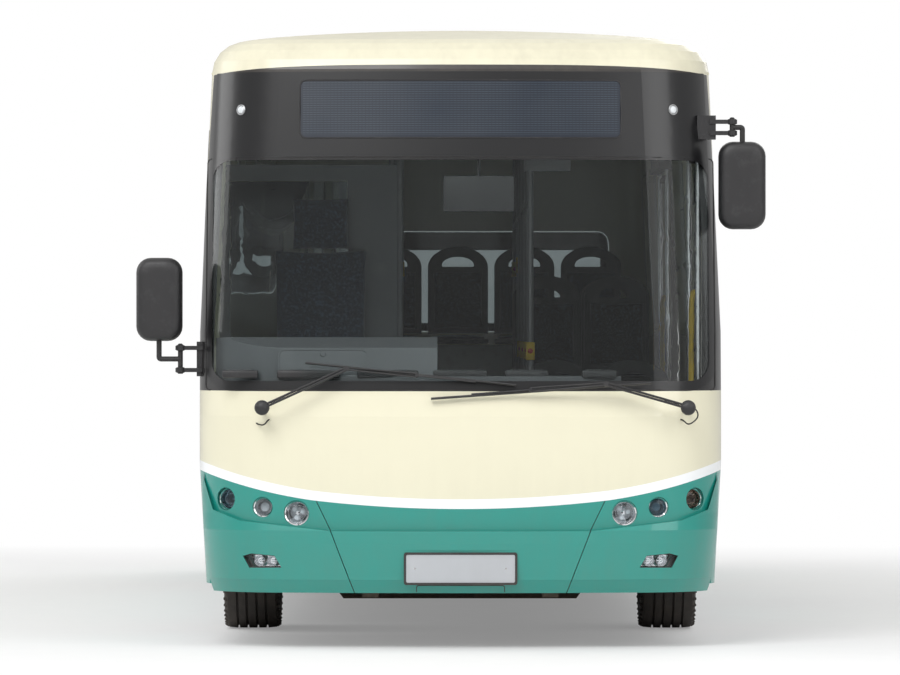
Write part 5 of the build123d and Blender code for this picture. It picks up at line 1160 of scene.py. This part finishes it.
for side, y, floor_z in ((1, -3.54, 0.36), (1, -2.23, 0.36), (-1, -2.23, 0.36), (1, -0.72, 0.36),
        (-1, -0.6, 0.36),
                         (1, 0.72, 0.36), (-1, 1.48, 0.84), (1, 1.48, 0.84), (-1, 3.78, 0.84),
                                 (1, 3.78, 0.84)):
    x = side * 0.35
    box(bm, (x - 0.022, y - 0.026, floor_z + 1.0), (x + 0.022, y - 0.012, floor_z + 1.09), 0.005)
    turned(buttons, [(0.0, 0.006), (0.009, 0.005), (0.013, 0.0)], (x, y - 0.026, floor_z + 1.045),
            (0, -1, 0), 18)
    turned(bm, [(0.0165, 0.0), (0.05, 0.0), (0.052, 0.006), (0.03, 0.012), (0.0165, 0.02)],
            (x, y, floor_z), (0, 0, 1), 24)
finish_piece(bm, "call_button_boxes", "coach", nosing_yellow)
red_button = finish("red_button", (0.5, 0.02, 0.015, 1), 0.3, grain=90, bump=0.05)
finish_piece(buttons, "call_buttons", "coach", red_button)
bm = bmesh.new()
for x0, x1, y, z in ((-1.15, 1.15, 1.4, 0.84), (-1.15, 1.15, 4.15, 1.05)):
    box(bm, (x0, y - 0.004, z - 0.03), (x1, y + 0.03, z + 0.004), 0.002)
finish_piece(bm, "step_edges", "coach", nosing_yellow)
print("fittings done")

# %% [markdown]
# ## Outside mirrors
# A mirror is a rounded housing with a recess, and the glass sits in the recess, facing back to the
# driver. The housing is a crowned box: its front bulges and its rim rounds over. Each mirror
# swings on its bracket, so the pieces ride on the mirror's own body.


# %% Mirror housings and glasses
def shell_housing(bm, middle, width, height, depth, radius):
    """A housing whose front bulges towards -Y; rings of a rounded outline run from back to front."""
    rings = [(0.50, 0.975), (0.505, 1.0), (0.30, 1.0), (-0.05, 0.985), (-0.28, 0.94), (-0.41, 0.86),
            (-0.475, 0.72),
             (-0.497, 0.5), (-0.5, 0.25)]
    last = None
    for share, scale in rings:
        r = radius * scale
        outline = rounded(-width / 2 * scale, width / 2 * scale,
                -height / 2 * (1 - (1 - scale) * width / height),
                          height / 2 * (1 - (1 - scale) * width / height), max(r, 0.004), steps=6)
        loop = [bm.verts.new(Vector(middle) + Vector((x, share * depth, z))) for x, z in outline]
        if last:
            for i in range(len(loop)):
                bm.faces.new((last[i - 1], last[i], loop[i], loop[i - 1]))
        last = loop
        if share == 0.50:
            first = loop
    bm.faces.new(last)
    return first


MIRRORS = [("right", (1.442, -4.7995, 1.656), 0.221, 0.399, -1),
        ("left", (1.349, -4.7995, 2.202), 0.226, 0.420, 1)]
for name, middle, width, height, side in MIRRORS:
    middle = Vector((side * middle[0], middle[1], middle[2]))
    bm = bmesh.new()
    rim = shell_housing(bm, middle, width, height, 0.104, 0.07)
    inner = []
    for share, scale in ((0.5, 0.93), (0.36, 0.91)):
        outline = rounded(-width / 2 * scale, width / 2 * scale, -height / 2 * scale, height / 2 * scale,
                0.06, steps=6)
        loop = [bm.verts.new(middle + Vector((x, share * 0.104, z))) for x, z in outline]
        previous = inner if inner else rim
        for i in range(len(loop)):
            bm.faces.new((previous[i - 1], previous[i], loop[i], loop[i - 1]))
        inner = loop
    bm.faces.new(inner)
    finish_piece(bm, f"mirror_housing_{name}", f"mirror_{name}", moulded_black,
            stands_for=(f"mirror_{name}",), crease=40)
    glass_bm, lip = bmesh.new(), bmesh.new()
    at = grid_frame(middle + Vector((0, 0.036, 0)), (-1, 0, 0), (0, 0, 1))
    w, h = width / 2 * 0.86, height / 2 * 0.9
    plate(glass_bm, rounded(-w, w, -h * 0.32, h, 0.045), at, 0.004)
    plate(glass_bm, rounded(-w, w, -h, -h * 0.38, 0.035), at, 0.004)
    finish_piece(glass_bm, f"mirror_glass_{name}", f"mirror_{name}", chrome)
    ring_plate(lip, rounded(-w - 0.006, w + 0.006, -h - 0.006, h + 0.006, 0.05),
               rounded(-w + 0.002, w - 0.002, -h + 0.002, h - 0.002, 0.043), at, 0.006)
    stem = (1.318, 1.424) if side == RIGHT else (2.452, 2.506)
    pivot_x = 1.340 if side == RIGHT else 1.300
    for z in stem:
        turned(lip, [(0.0135, -0.014), (0.02, -0.012), (0.022, 0.0), (0.02, 0.012), (0.0135, 0.014)],
               (side * pivot_x, -4.800, z), (0, 0, 1), 24)
        hexagon(lip, (side * pivot_x, -4.800, z + 0.014), (0, 0, 1), 0.017, 0.007)
    arm_z = sum(stem) / 2
    inside_z = middle.z + (height / 2 - 0.02) * (-1 if middle.z > arm_z else 1)
    end_x = abs(middle.x)
    bend = 0.022
    bar(lip, (side * pivot_x, -4.8, stem[0] - 0.018), (side * pivot_x, -4.8, stem[1] + 0.018), 0.012, 20)
    pipe(lip, [(side * pivot_x, -4.8, arm_z), (side * (end_x - bend), -4.8, arm_z),
            (side * end_x, -4.8, arm_z),
               (side * end_x, -4.8, arm_z + (bend if inside_z > arm_z else -bend)),
                       (side * end_x, -4.8, inside_z)], 0.013)
    finish_piece(lip, f"mirror_fittings_{name}", f"mirror_{name}", rubber)
print("mirrors", len(MIRRORS))

# %% [markdown]
# ## Tyres
# A bus tyre has four broad ribs cut by zigzag grooves, a shoulder with fine blocks and a wall with
# raised rings. The section is turned about the axle, with its grooves; then small blocks are laid
# round the shoulders. Each tyre stands for its packed one and turns with its wheel.

# %% Tyres with grooves and walls
TYRE_R, RIM_R, TYRE_W = 0.478, 0.287, 0.278
half = TYRE_W / 2
groove_places = (-0.072, -0.025, 0.025, 0.072)


def tyre_profile():
    """Half-open section: (radius, distance across), from one bead over the tread to the other."""
    wall = [(RIM_R, -half * 0.72), (RIM_R + 0.012, -half * 0.80), (RIM_R + 0.03, -half * 0.90),
            (0.345, -half * 0.965),
            (0.350, -half * 0.99), (0.357, -half * 0.99), (0.362, -half * 0.975), (0.395, -half * 0.998),
            (0.425, -half * 0.985), (0.430, -half * 0.998), (0.437, -half * 0.985), (0.455, -half * 0.955),
            (0.467, -half * 0.92), (0.4735, -half * 0.86)]
    tread = []
    for w in groove_places:
        tread += [(TYRE_R - 0.0025 * (abs(w) / half) ** 2, w - 0.006), (TYRE_R - 0.014, w - 0.004),
                  (TYRE_R - 0.014, w + 0.004), (TYRE_R - 0.0025 * (abs(w) / half) ** 2, w + 0.006)]
    back = [(r, -w) for r, w in reversed(wall)]
    inside = [(RIM_R + 0.004, half * 0.6), (RIM_R + 0.006, 0.0), (RIM_R + 0.004, -half * 0.6)]
    return wall + tread + back + inside + [wall[0]]


AXLES = [("front_left", [1.047], -2.945, "wheel_front_left", "tyre_front_left"),
         ("front_right", [-1.047], -2.945, "wheel_front_right", "tyre_front_right"),
         ("rear_left", [1.056, 0.740], 2.355, "wheels_rear_left", "tyres_rear_left"),
         ("rear_right", [-1.056, -0.740], 2.355, "wheels_rear_right", "tyres_rear_right")]
for name, centers, y, body, packed in AXLES:
    bm = bmesh.new()
    for x in centers:
        turned(bm, tyre_profile(), (x, y, 0.478), (1, 0, 0), 120)
        for way in (-1, 1):
            for i in range(0, 120, 2):
                turn = Matrix.Rotation(2 * pi * (i + 0.5) / 120, 4, "X")
                verts = bmesh.ops.create_cube(bm, size=1.0)["verts"]
                bmesh.ops.scale(bm, vec=(half * 0.125, 0.013, 0.0255), verts=verts)
                lean = Matrix.Rotation(way * radians(32), 4, "Y")
                place = Matrix.Translation((x, y, 0.478)) @ turn @ Matrix.Translation((way * half * 0.915,
                        0, 0.4565))
                bmesh.ops.transform(bm, matrix=place @ lean, verts=verts)
    finish_piece(bm, f"tyre_detail_{name}", body, rubber, stands_for=(packed,), crease=30)
print("tyre radius", TYRE_R)

# %% [markdown]
# ## Wheel nuts, hub caps and valves
# Ten nuts hold each wheel on a circle. A hub cover stands in the middle of the front wheels and of
# the outer rear wheels. They ride on the wheels too.

# %% Hub hardware
rim_hits = {}
for name, centers, y, body, packed in AXLES:
    side = 1 if centers[0] > 0 else -1
    rims = [n for n in nodes if n.startswith("rim") and n.endswith(name.split("_")[1]) and name.split("_")[0] in n]
    verts = [v.co.copy() for n in rims for v in nodes[n].data.vertices]
    faces, start = [], 0
    for n in rims:
        faces += [[start + i for i in p.vertices] for p in nodes[n].data.polygons]
        start += len(nodes[n].data.vertices)
    rim_tree = BVHTree.FromPolygons(verts, faces)
    bm, caps = bmesh.new(), bmesh.new()
    for i in range(10):
        a = 2 * pi * i / 10 + 0.15
        spot = Vector((side * 3, y + 0.1125 * cos(a), 0.478 + 0.1125 * sin(a)))
        hit = rim_tree.ray_cast(spot, Vector((-side, 0, 0)))[0]
        if hit:
            hexagon(bm, hit - Vector((side * 0.002, 0, 0)), (side, 0, 0), 0.032, 0.024)
            turned(bm, [(0.0, 0.034), (0.009, 0.033), (0.011, 0.03), (0.011, 0.0)], hit, (side, 0, 0), 14)
    hit = rim_tree.ray_cast(Vector((side * 3, y + 0.002, 0.4795)), Vector((-side, 0, 0)))[0]
    rim_hits[name] = hit
    if hit:
        turned(caps, [(0.0, 0.012), (0.03, 0.0115), (0.045, 0.009), (0.052, 0.003), (0.053, -0.004)], hit,
                (side, 0, 0), 32)
    valve = Vector((side * 3, y + 0.235, 0.478))
    hit = rim_tree.ray_cast(valve, Vector((-side, 0, 0)))[0]
    if hit:
        bar(caps, hit - Vector((side * 0.01, 0, 0)), hit + Vector((side * 0.035, 0, 0)), 0.0045, 10)
    finish_piece(bm, f"wheel_nuts_{name}", body, bright_steel)
    finish_piece(caps, f"hub_cap_{name}", body, dark_steel)
print({k: [round(c, 3) for c in v] if v else None for k, v in rim_hits.items()})

# %% [markdown]
# ## Window borders and door seals
# The side and rear windows are bonded too, so each pane has a black border, and a narrow rubber
# gasket fills its joint. A flat frame is drawn round each window with points close together,
# and each point is then moved onto the surface behind it.


# %% Frames laid on a surface
def dense(points, step):
    """The same outline with more points along its straight runs."""
    made = []
    for (x0, y0), (x1, y1) in zip(points, points[1:] + points[:1]):
        count = max(1, int(sqrt((x1 - x0) ** 2 + (y1 - y0) ** 2) / step))
        made += [(x0 + (x1 - x0) * i / count, y0 + (y1 - y0) * i / count) for i in range(count)]
    return made


def laid_ring(bm, outer, width, find, lift, thickness):
    """A frame of even width inside an outline; find gives the surface for a drawing point."""
    xs, ys = [p[0] for p in outer], [p[1] for p in outer]
    cx, cy = (max(xs) + min(xs)) / 2, (max(ys) + min(ys)) / 2
    wx, wy = 1 - 2 * width / (max(xs) - min(xs)), 1 - 2 * width / (max(ys) - min(ys))
    loops, moved = [], []
    for sx, sy in ((1, 1), (wx, wy)):
        verts = []
        for x, y in outer:
            hit, normal = find(cx + (x - cx) * sx, cy + (y - cy) * sy)
            verts.append(bm.verts.new(hit + normal * lift))
            moved.append(normal)
        loops += [bm.edges.new((verts[i - 1], verts[i])) for i in range(len(verts))]
    faces = bmesh.ops.bridge_loops(bm, edges=loops)["faces"]
    made = bmesh.ops.extrude_face_region(bm, geom=faces)["geom"]
    out = sum(moved, Vector()).normalized()
    bmesh.ops.translate(bm, vec=out * thickness, verts=[v for v in made if isinstance(v, bmesh.types.BMVert)])


WINDOWS = {RIGHT: [(-4.62, -3.74, 1.29), (-3.56, -2.24, 1.48), (-2.12, -0.80, 1.48), (-0.68, 0.64, 1.48),
                   (0.76, 2.08, 1.48), (2.20, 3.52, 1.48), (3.64, 4.88, 1.48)],
           LEFT: [(-3.48, -2.24, 1.48), (-2.12, -0.76, 1.48), (0.76, 2.08, 1.48), (2.20, 3.52, 1.48),
                  (3.64, 4.88, 1.48)]}
borders, gaskets, vents = bmesh.new(), bmesh.new(), bmesh.new()
for side, rows in WINDOWS.items():
    for y0, y1, z0 in rows:
        def find(y, z):
            """The side's surface for a drawing point."""
            return side_at(side, y, min(max(z, z0 + 0.004), 2.476))

        outline = dense(rounded(y0 + 0.006, y1 - 0.006, z0 + 0.006, 2.474, 0.066), 0.12)
        laid_ring(borders, outline, 0.052, find, 0.0006, 0.0004)
        laid_ring(gaskets, outline, 0.012, find, 0.0008, 0.0012)
        if y1 - y0 > 1 and z0 > 1.4:
            for a, b in (((y0 + 0.055, 2.16), (y1 - 0.055, 2.16)),
                    (((y0 + y1) / 2, 2.16), ((y0 + y1) / 2, 2.425))):
                p, q = find(*a), find(*b)
                bar(vents, p[0] - p[1] * 0.001, q[0] - q[1] * 0.001, 0.008, 8)
laid_ring(borders, dense(rounded(-0.954, 0.954, 1.506, 2.134, 0.066), 0.12), 0.05, rear_at, 0.0006, 0.0004)
bm = bmesh.new()
plate(bm, [(-0.9, 2.02), (0.9, 2.02), (0.9, 2.10), (-0.9, 2.10)],
        grid_frame((0, rear_at(0, 2.05)[0].y, 0), (-1, 0, 0),
      (0, 0, 1)) @ Matrix.Translation((0, 0, 0.0006)), 0.0006)
finish_piece(bm, "rear_window_shade", "coach", header_black)
finish_piece(borders, "window_borders", "coach", header_black)
finish_piece(gaskets, "window_gaskets", "coach", rubber)
finish_piece(vents, "window_vent_bars", "coach", moulded_black)
print("side windows", sum(len(rows) for rows in WINDOWS.values()))

# %% [markdown]
# ## Doors
# Each leaf is a black frame round a tall pane. Finger-guard rubbers close the gap between two
# leaves, and each leaf has a yellow handrail inside. They ride on the leaf's own body.

# %% Door rubbers, handrails and gaskets
DOORS = [("front_fore", -4.600, -4.1445, 1), ("front_aft", -4.1305, -3.675, -1),
        ("middle_fore", -0.580, -0.007, 1),
         ("middle_aft", 0.007, 0.580, -1)]
for name, y0, y1, way in DOORS:
    bm = bmesh.new()
    edge = y1 if way > 0 else y0
    for x, y, radius in ((1.187, edge + way * 0.0005, 0.005), (1.196, edge - way * 0.004, 0.004)):
        bar(bm, (x, y, 0.40), (x, y, 2.34), radius, 8)
    at = grid_frame((1.2035, 0, 0), (0, 1, 0), (0, 0, 1))
    ring_plate(bm, rounded(y0 + 0.048, y1 - 0.048, 0.633, 2.307, 0.035),
            rounded(y0 + 0.060, y1 - 0.060, 0.645, 2.295, 0.03),
               at, 0.002)
    finish_piece(bm, f"door_rubber_{name}", f"door_{name}", rubber)
    rail = bmesh.new()
    grip_y = edge - way * 0.085
    pipe(rail, [(1.171, grip_y, 0.95), (1.150, grip_y, 0.95), (1.134, grip_y, 0.97), (1.134, grip_y, 1.2),
                (1.134, grip_y, 1.5), (1.134, grip_y, 1.68), (1.150, grip_y, 1.70), (1.171, grip_y, 1.70)],
                        0.011)
    for z in (0.95, 1.70):
        turned(rail, [(0.012, -0.012), (0.022, -0.004), (0.023, 0.0)], (1.1705, grip_y, z), (1, 0, 0), 20)
    finish_piece(rail, f"door_handrail_{name}", f"door_{name}", nosing_yellow)
print("door leaves", len(DOORS))

# %% [markdown]
# ## Side trim
# A rubber lip runs round each wheel arch. Below the windows there are flap joints, small amber
# marker lamps, a fuel flap and a slatted air intake near the back.

# %% Wheel arches, flaps and side lamps
arches, seams, markers, lamp_rims = bmesh.new(), bmesh.new(), bmesh.new(), bmesh.new()


def line_on(bm, points, find, radius=0.003, step=0.1, lift=0.0):
    """A thin line that follows a surface through drawing points."""
    for (a0, b0), (a1, b1) in zip(points, points[1:]):
        count = max(1, int(sqrt((a1 - a0) ** 2 + (b1 - b0) ** 2) / step))
        for i in range(count):
            p, n = find(a0 + (a1 - a0) * i / count, b0 + (b1 - b0) * i / count)
            q, m = find(a0 + (a1 - a0) * (i + 1) / count, b0 + (b1 - b0) * (i + 1) / count)
            bar(bm, p + n * lift, q + m * lift, radius, 6)


for side in (LEFT, RIGHT):
    def find(y, z):
        """The side's surface for a drawing point."""
        return side_at(side, y, z)

    for center, radius in ((-2.945, 0.610), (2.355, 0.570)):
        low = -radians(12) if radius > 0.6 else -radians(8)
        arc = [(center + (radius + 0.012) * cos(low + (pi - 2 * low) * i / 40),
                0.478 + (radius + 0.012) * sin(low + (pi - 2 * low) * i / 40)) for i in range(41)]
        arc = [(y, max(z, 0.33)) for y, z in arc]
        line_on(arches, arc, find, 0.0085, 0.2, -0.003)
    for y0, y1 in ((-1.75, -0.75), (0.75, 1.65), (3.05, 4.05)) if side == LEFT else ((-1.75, -0.65),
            (-0.55, 0.55), (0.65, 1.65),
                                                                                 (3.05, 4.05)):
        line_on(seams, [(y0, 0.34), (y0, 0.80), (y1, 0.80), (y1, 0.34)], find, 0.0022, 0.12, -0.0006)
        for y in (y0 + 0.12, y1 - 0.12):
            hit, normal = find(y, 0.4)
            turned(lamp_rims, [(0.0, 0.002), (0.012, 0.0018), (0.015, 0.0)], hit - normal * 0.0006, normal,
                    18)
    for y in (-3.80 if side == RIGHT else -1.9, -0.9 if side == LEFT else -0.6, 1.2, 3.9):
        hit, normal = find(y, 0.62)
        flat = grid_frame(hit - normal * 0.0004, (0, side, 0), (0, 0, 1))
        plate(markers, rounded(-0.034, 0.034, -0.013, 0.013, 0.011), flat, 0.001)
        ring_plate(lamp_rims, rounded(-0.04, 0.04, -0.019, 0.019, 0.016),
                rounded(-0.033, 0.033, -0.012, 0.012, 0.010),
                   flat, 0.0008)
finish_piece(arches, "wheel_arch_lips", "coach", rubber)
finish_piece(seams, "side_flap_joints", "coach", rubber)
finish_piece(markers, "side_marker_lamps", "coach", lens_amber)
finish_piece(lamp_rims, "side_marker_rims", "coach", moulded_black)
print("arches 4")

# %% Air intake and fuel flap
grille, seams = bmesh.new(), bmesh.new()
for i in range(13):
    z = 0.93 + 0.03 * i
    p, n = side_at(RIGHT, 4.2, z)
    q, m = side_at(RIGHT, 4.78, z)
    bar(grille, p - n * 0.003, q - m * 0.003, 0.0055, 6)
line_on(grille, [(4.18, 0.91), (4.8, 0.91), (4.8, 1.31), (4.18, 1.31), (4.18, 0.91)], lambda y,
        z: side_at(RIGHT, y, z),
        0.005, 0.2, -0.002)
line_on(seams, rounded(3.2, 3.48, 0.92, 1.2, 0.03) + [(3.48, 1.17)], lambda y, z: side_at(LEFT, y, z),
        0.0022, 0.2, -0.0006)
finish_piece(grille, "side_air_intake", "coach", moulded_black)
finish_piece(seams, "fuel_flap_joint", "coach", rubber)
print("air intake slats 13")

# %% [markdown]
# ## The back
# The tail lamps are turned domes in silver rings. The engine hatch carries a slatted grille and a
# handle, and these swing with it. A thin stop lamp sits high, and two red reflectors low.

# %% Tail lamps, reflectors and stop lamp
domes, amber_domes, rims, reflex = bmesh.new(), bmesh.new(), bmesh.new(), bmesh.new()
for side in (LEFT, RIGHT):
    for z, bm in ((1.01, domes), (1.13, domes), (1.25, amber_domes)):
        hit = Vector((side * 0.930, 5.2225, z))
        turned(bm, [(0.0, 0.0005), (0.02, -0.0002), (0.036, -0.003), (0.044, -0.009), (0.0455, -0.016)],
                hit, (0, 1, 0), 36)
        turned(rims, [(0.0455, -0.012), (0.0475, -0.004), (0.0505, -0.004), (0.053, -0.010),
                (0.053, -0.03)], hit,
               (0, 1, 0), 36)
        for r in (0.016, 0.03):
            turned(rims, [(r, -0.0012), (r + 0.0012, 0.0), (r + 0.0024, -0.0014)], hit, (0, 1, 0), 28)
    hit, normal = rear_at(side * 0.93, 0.87)
    turned(reflex, [(0.0, 0.0045), (0.028, 0.004), (0.034, 0.0)], hit - normal * 0.001, normal, 28)
finish_piece(domes, "tail_lamp_domes", "coach", lens_red)
finish_piece(amber_domes, "tail_lamp_amber_domes", "coach", lens_amber)
finish_piece(rims, "tail_lamp_rims", "coach", silver_paint)
hit, normal = rear_at(0, 2.35)
at = grid_frame(hit - normal * 0.001, (-1, 0, 0), (0, 0, 1))
plate(reflex, rounded(-0.17, 0.17, -0.014, 0.014, 0.013), at, 0.009, 0.003)
finish_piece(reflex, "rear_reflectors", "coach", lens_red)
print("tail lamps 6")

# %% Engine hatch grille and handle
slats, handle = bmesh.new(), bmesh.new()
for i in range(8):
    z = 0.935 + 0.036 * i
    for x0, x1 in ((-0.70, -0.06), (0.06, 0.70)):
        a, b = rear_at(x0, z)[0], rear_at(x1, z)[0]
        turn = Matrix.Rotation(radians(35), 4, "X")
        y = min(a.y, b.y) - 0.002
        box(slats, (x0, y - 0.006, z - 0.002), (x1, y + 0.002, z + 0.002), 0.0008, 1, turn)
for x0, x1 in ((-0.72, -0.04), (0.04, 0.72)):
    y = rear_at((x0 + x1) / 2, 1.0)[0].y
    ring_plate(slats, rounded(-x1, -x0, 0.91, 1.215, 0.02),
            rounded(-x1 + 0.012, -x0 - 0.012, 0.922, 1.203, 0.014),
               grid_frame((0, y - 0.002, 0), (-1, 0, 0), (0, 0, 1)), 0.004)
y = rear_at(0, 0.68)[0].y
pipe(handle, [(-0.07, y - 0.004, 0.69), (-0.07, y + 0.004, 0.69), (-0.05, y + 0.0055, 0.69),
        (0.05, y + 0.0055, 0.69),
              (0.07, y + 0.004, 0.69), (0.07, y - 0.004, 0.69)], 0.004)
for x in (-0.6, 0.6):
    yb = rear_at(x, 1.3)[0].y
    box(handle, (x - 0.04, yb - 0.004, 1.27), (x + 0.04, yb + 0.003, 1.325), 0.002)
finish_piece(slats, "engine_grille", "engine_hatch", moulded_black)
finish_piece(handle, "engine_hatch_handle", "engine_hatch", bright_steel)
print("grille slats 16")

# %% [markdown]
# ## Roof hatches and gutters
# Each hatch lid is a shallow dome with ribs. A rain gutter runs along
# each side of the roof.

# %% Hatch ribs and rain gutters
for name, y in (("front", -1.9), ("rear", 2.5)):
    ribs = bmesh.new()
    for x in (-0.24, -0.12, 0.0, 0.12, 0.24):
        box(ribs, (x - 0.012, y - 0.25, 2.988), (x + 0.012, y + 0.25, 2.9935), 0.002)
    finish_piece(ribs, f"roof_hatch_ribs_{name}", f"roof_hatch_{name}", roof_paint)
bm = bmesh.new()
for side in (LEFT, RIGHT):
    last = None
    for i in range(33):
        y = -4.6 + 9.5 * i / 32
        hit = skin.ray_cast(Vector((side * 4, y, 2.744)), Vector((-side, 0, 0)))[0]
        if last and hit:
            bar(bm, last, hit, 0.006, 8)
        last = hit
finish_piece(bm, "rain_gutters", "coach", roof_paint)
print("gutters 2")

# %% [markdown]
# ## The studio
# The floor is pale and fades to the same white as the surroundings, so no edge shows. The camera
# sees the surroundings as plain white, and so do gloss and glass. A broad lamp above the front
# and the sky light give soft shade, at a level where colours render about as written.

# %% World, floor and lamps
world = bpy.data.worlds.new("studio")
bpy.context.scene.world = world
world.use_nodes = True
sky = world.node_tree
back = sky.nodes["Background"]
path = sky.nodes.new("ShaderNodeLightPath")
seen = calc(sky, "MAXIMUM", path.outputs["Is Camera Ray"], path.outputs["Is Transmission Ray"])
height = sky.nodes.new("ShaderNodeSeparateXYZ")
sky.links.new(sky.nodes.new("ShaderNodeTexCoord").outputs["Generated"], height.inputs[0])
upward = calc(sky, "MULTIPLY_ADD", calc(sky, "MAXIMUM", height.outputs[2], 0.0), 0.55, 0.42)
glossy = calc(sky, "MULTIPLY", path.outputs["Is Glossy Ray"], upward)
soft = calc(sky, "MULTIPLY_ADD", calc(sky, "MAXIMUM", height.outputs[2], 0.0), 0.4, 0.30)
plain = calc(sky, "MULTIPLY", calc(sky, "SUBTRACT", 1.0, path.outputs["Is Glossy Ray"]), soft)
level = calc(sky, "MAXIMUM", seen, calc(sky, "ADD", glossy, plain))
back.inputs["Color"].default_value = (1, 1, 1, 1)
sky.links.new(level, back.inputs["Strength"])

floor_white, tree, shader = start_material("floor_white")
where, x, y, z = place_xyz(tree)
far_x = calc(tree, "DIVIDE", calc(tree, "ABSOLUTE", x), 4.2)
far_y = calc(tree, "DIVIDE", calc(tree, "ABSOLUTE", y), 9.5)
away = calc(tree, "MINIMUM", calc(tree, "POWER", calc(tree, "MAXIMUM", far_x, far_y), 3.0), 1.0)
grain_noise = node(tree, "ShaderNodeTexNoise", Vector=where, Scale=5.0, Detail=5.0)
tree.links.new(blend(tree, grain_noise.outputs[0], (0.86, 0.86, 0.86, 1), (0.9, 0.9, 0.9, 1)),
               shader.inputs["Base Color"])
shader.inputs["Roughness"].default_value = 0.9
glow = node(tree, "ShaderNodeEmission", Color=(1, 1, 1, 1), Strength=1.0)
path = tree.nodes.new("ShaderNodeLightPath")
mix = tree.nodes.new("ShaderNodeMixShader")
tree.links.new(calc(tree, "MULTIPLY", calc(tree, "MAXIMUM", away, 0.25), path.outputs["Is Camera Ray"]),
        mix.inputs[0])
tree.links.new(shader.outputs[0], mix.inputs[1])
tree.links.new(glow.outputs[0], mix.inputs[2])
tree.links.new(mix.outputs[0], tree.nodes["Material Output"].inputs["Surface"])
bm = bmesh.new()
bmesh.ops.create_grid(bm, x_segments=4, y_segments=4, size=120)
floor_mesh = bpy.data.meshes.new("studio_floor")
bm.to_mesh(floor_mesh)
bm.free()
floor_mesh.materials.append(floor_white)
studio_floor = bpy.data.objects.new("studio_floor", floor_mesh)
bpy.context.scene.collection.objects.link(studio_floor)

LAMPS = [  # name, place, aimed at, size, power
    ("key", (-5.0, -16.0, 12.0), (0, -4.0, 1.2), 8.0, 1500.0),
    ("fill", (8.0, -13.0, 7.0), (0, -4.0, 1.5), 8.0, 420.0),
    ("rear", (6.0, 15.0, 9.0), (0, 4.0, 1.2), 9.0, 700.0),
    ("side", (-15.0, 1.0, 8.0), (0, 0, 1.2), 10.0, 700.0),
]
for name, at, aim, size, power in LAMPS:
    lamp_data = bpy.data.lights.new(name, "AREA")
    lamp_data.size = size
    lamp_data.energy = power
    lamp = bpy.data.objects.new(name, lamp_data)
    lamp.location = at
    lamp.visible_camera = False
    lamp.visible_transmission = False
    lamp.rotation_euler = (Vector(aim) - Vector(at)).to_track_quat("-Z", "Y").to_euler()
    bpy.context.scene.collection.objects.link(lamp)
print("lamps", len(LAMPS))
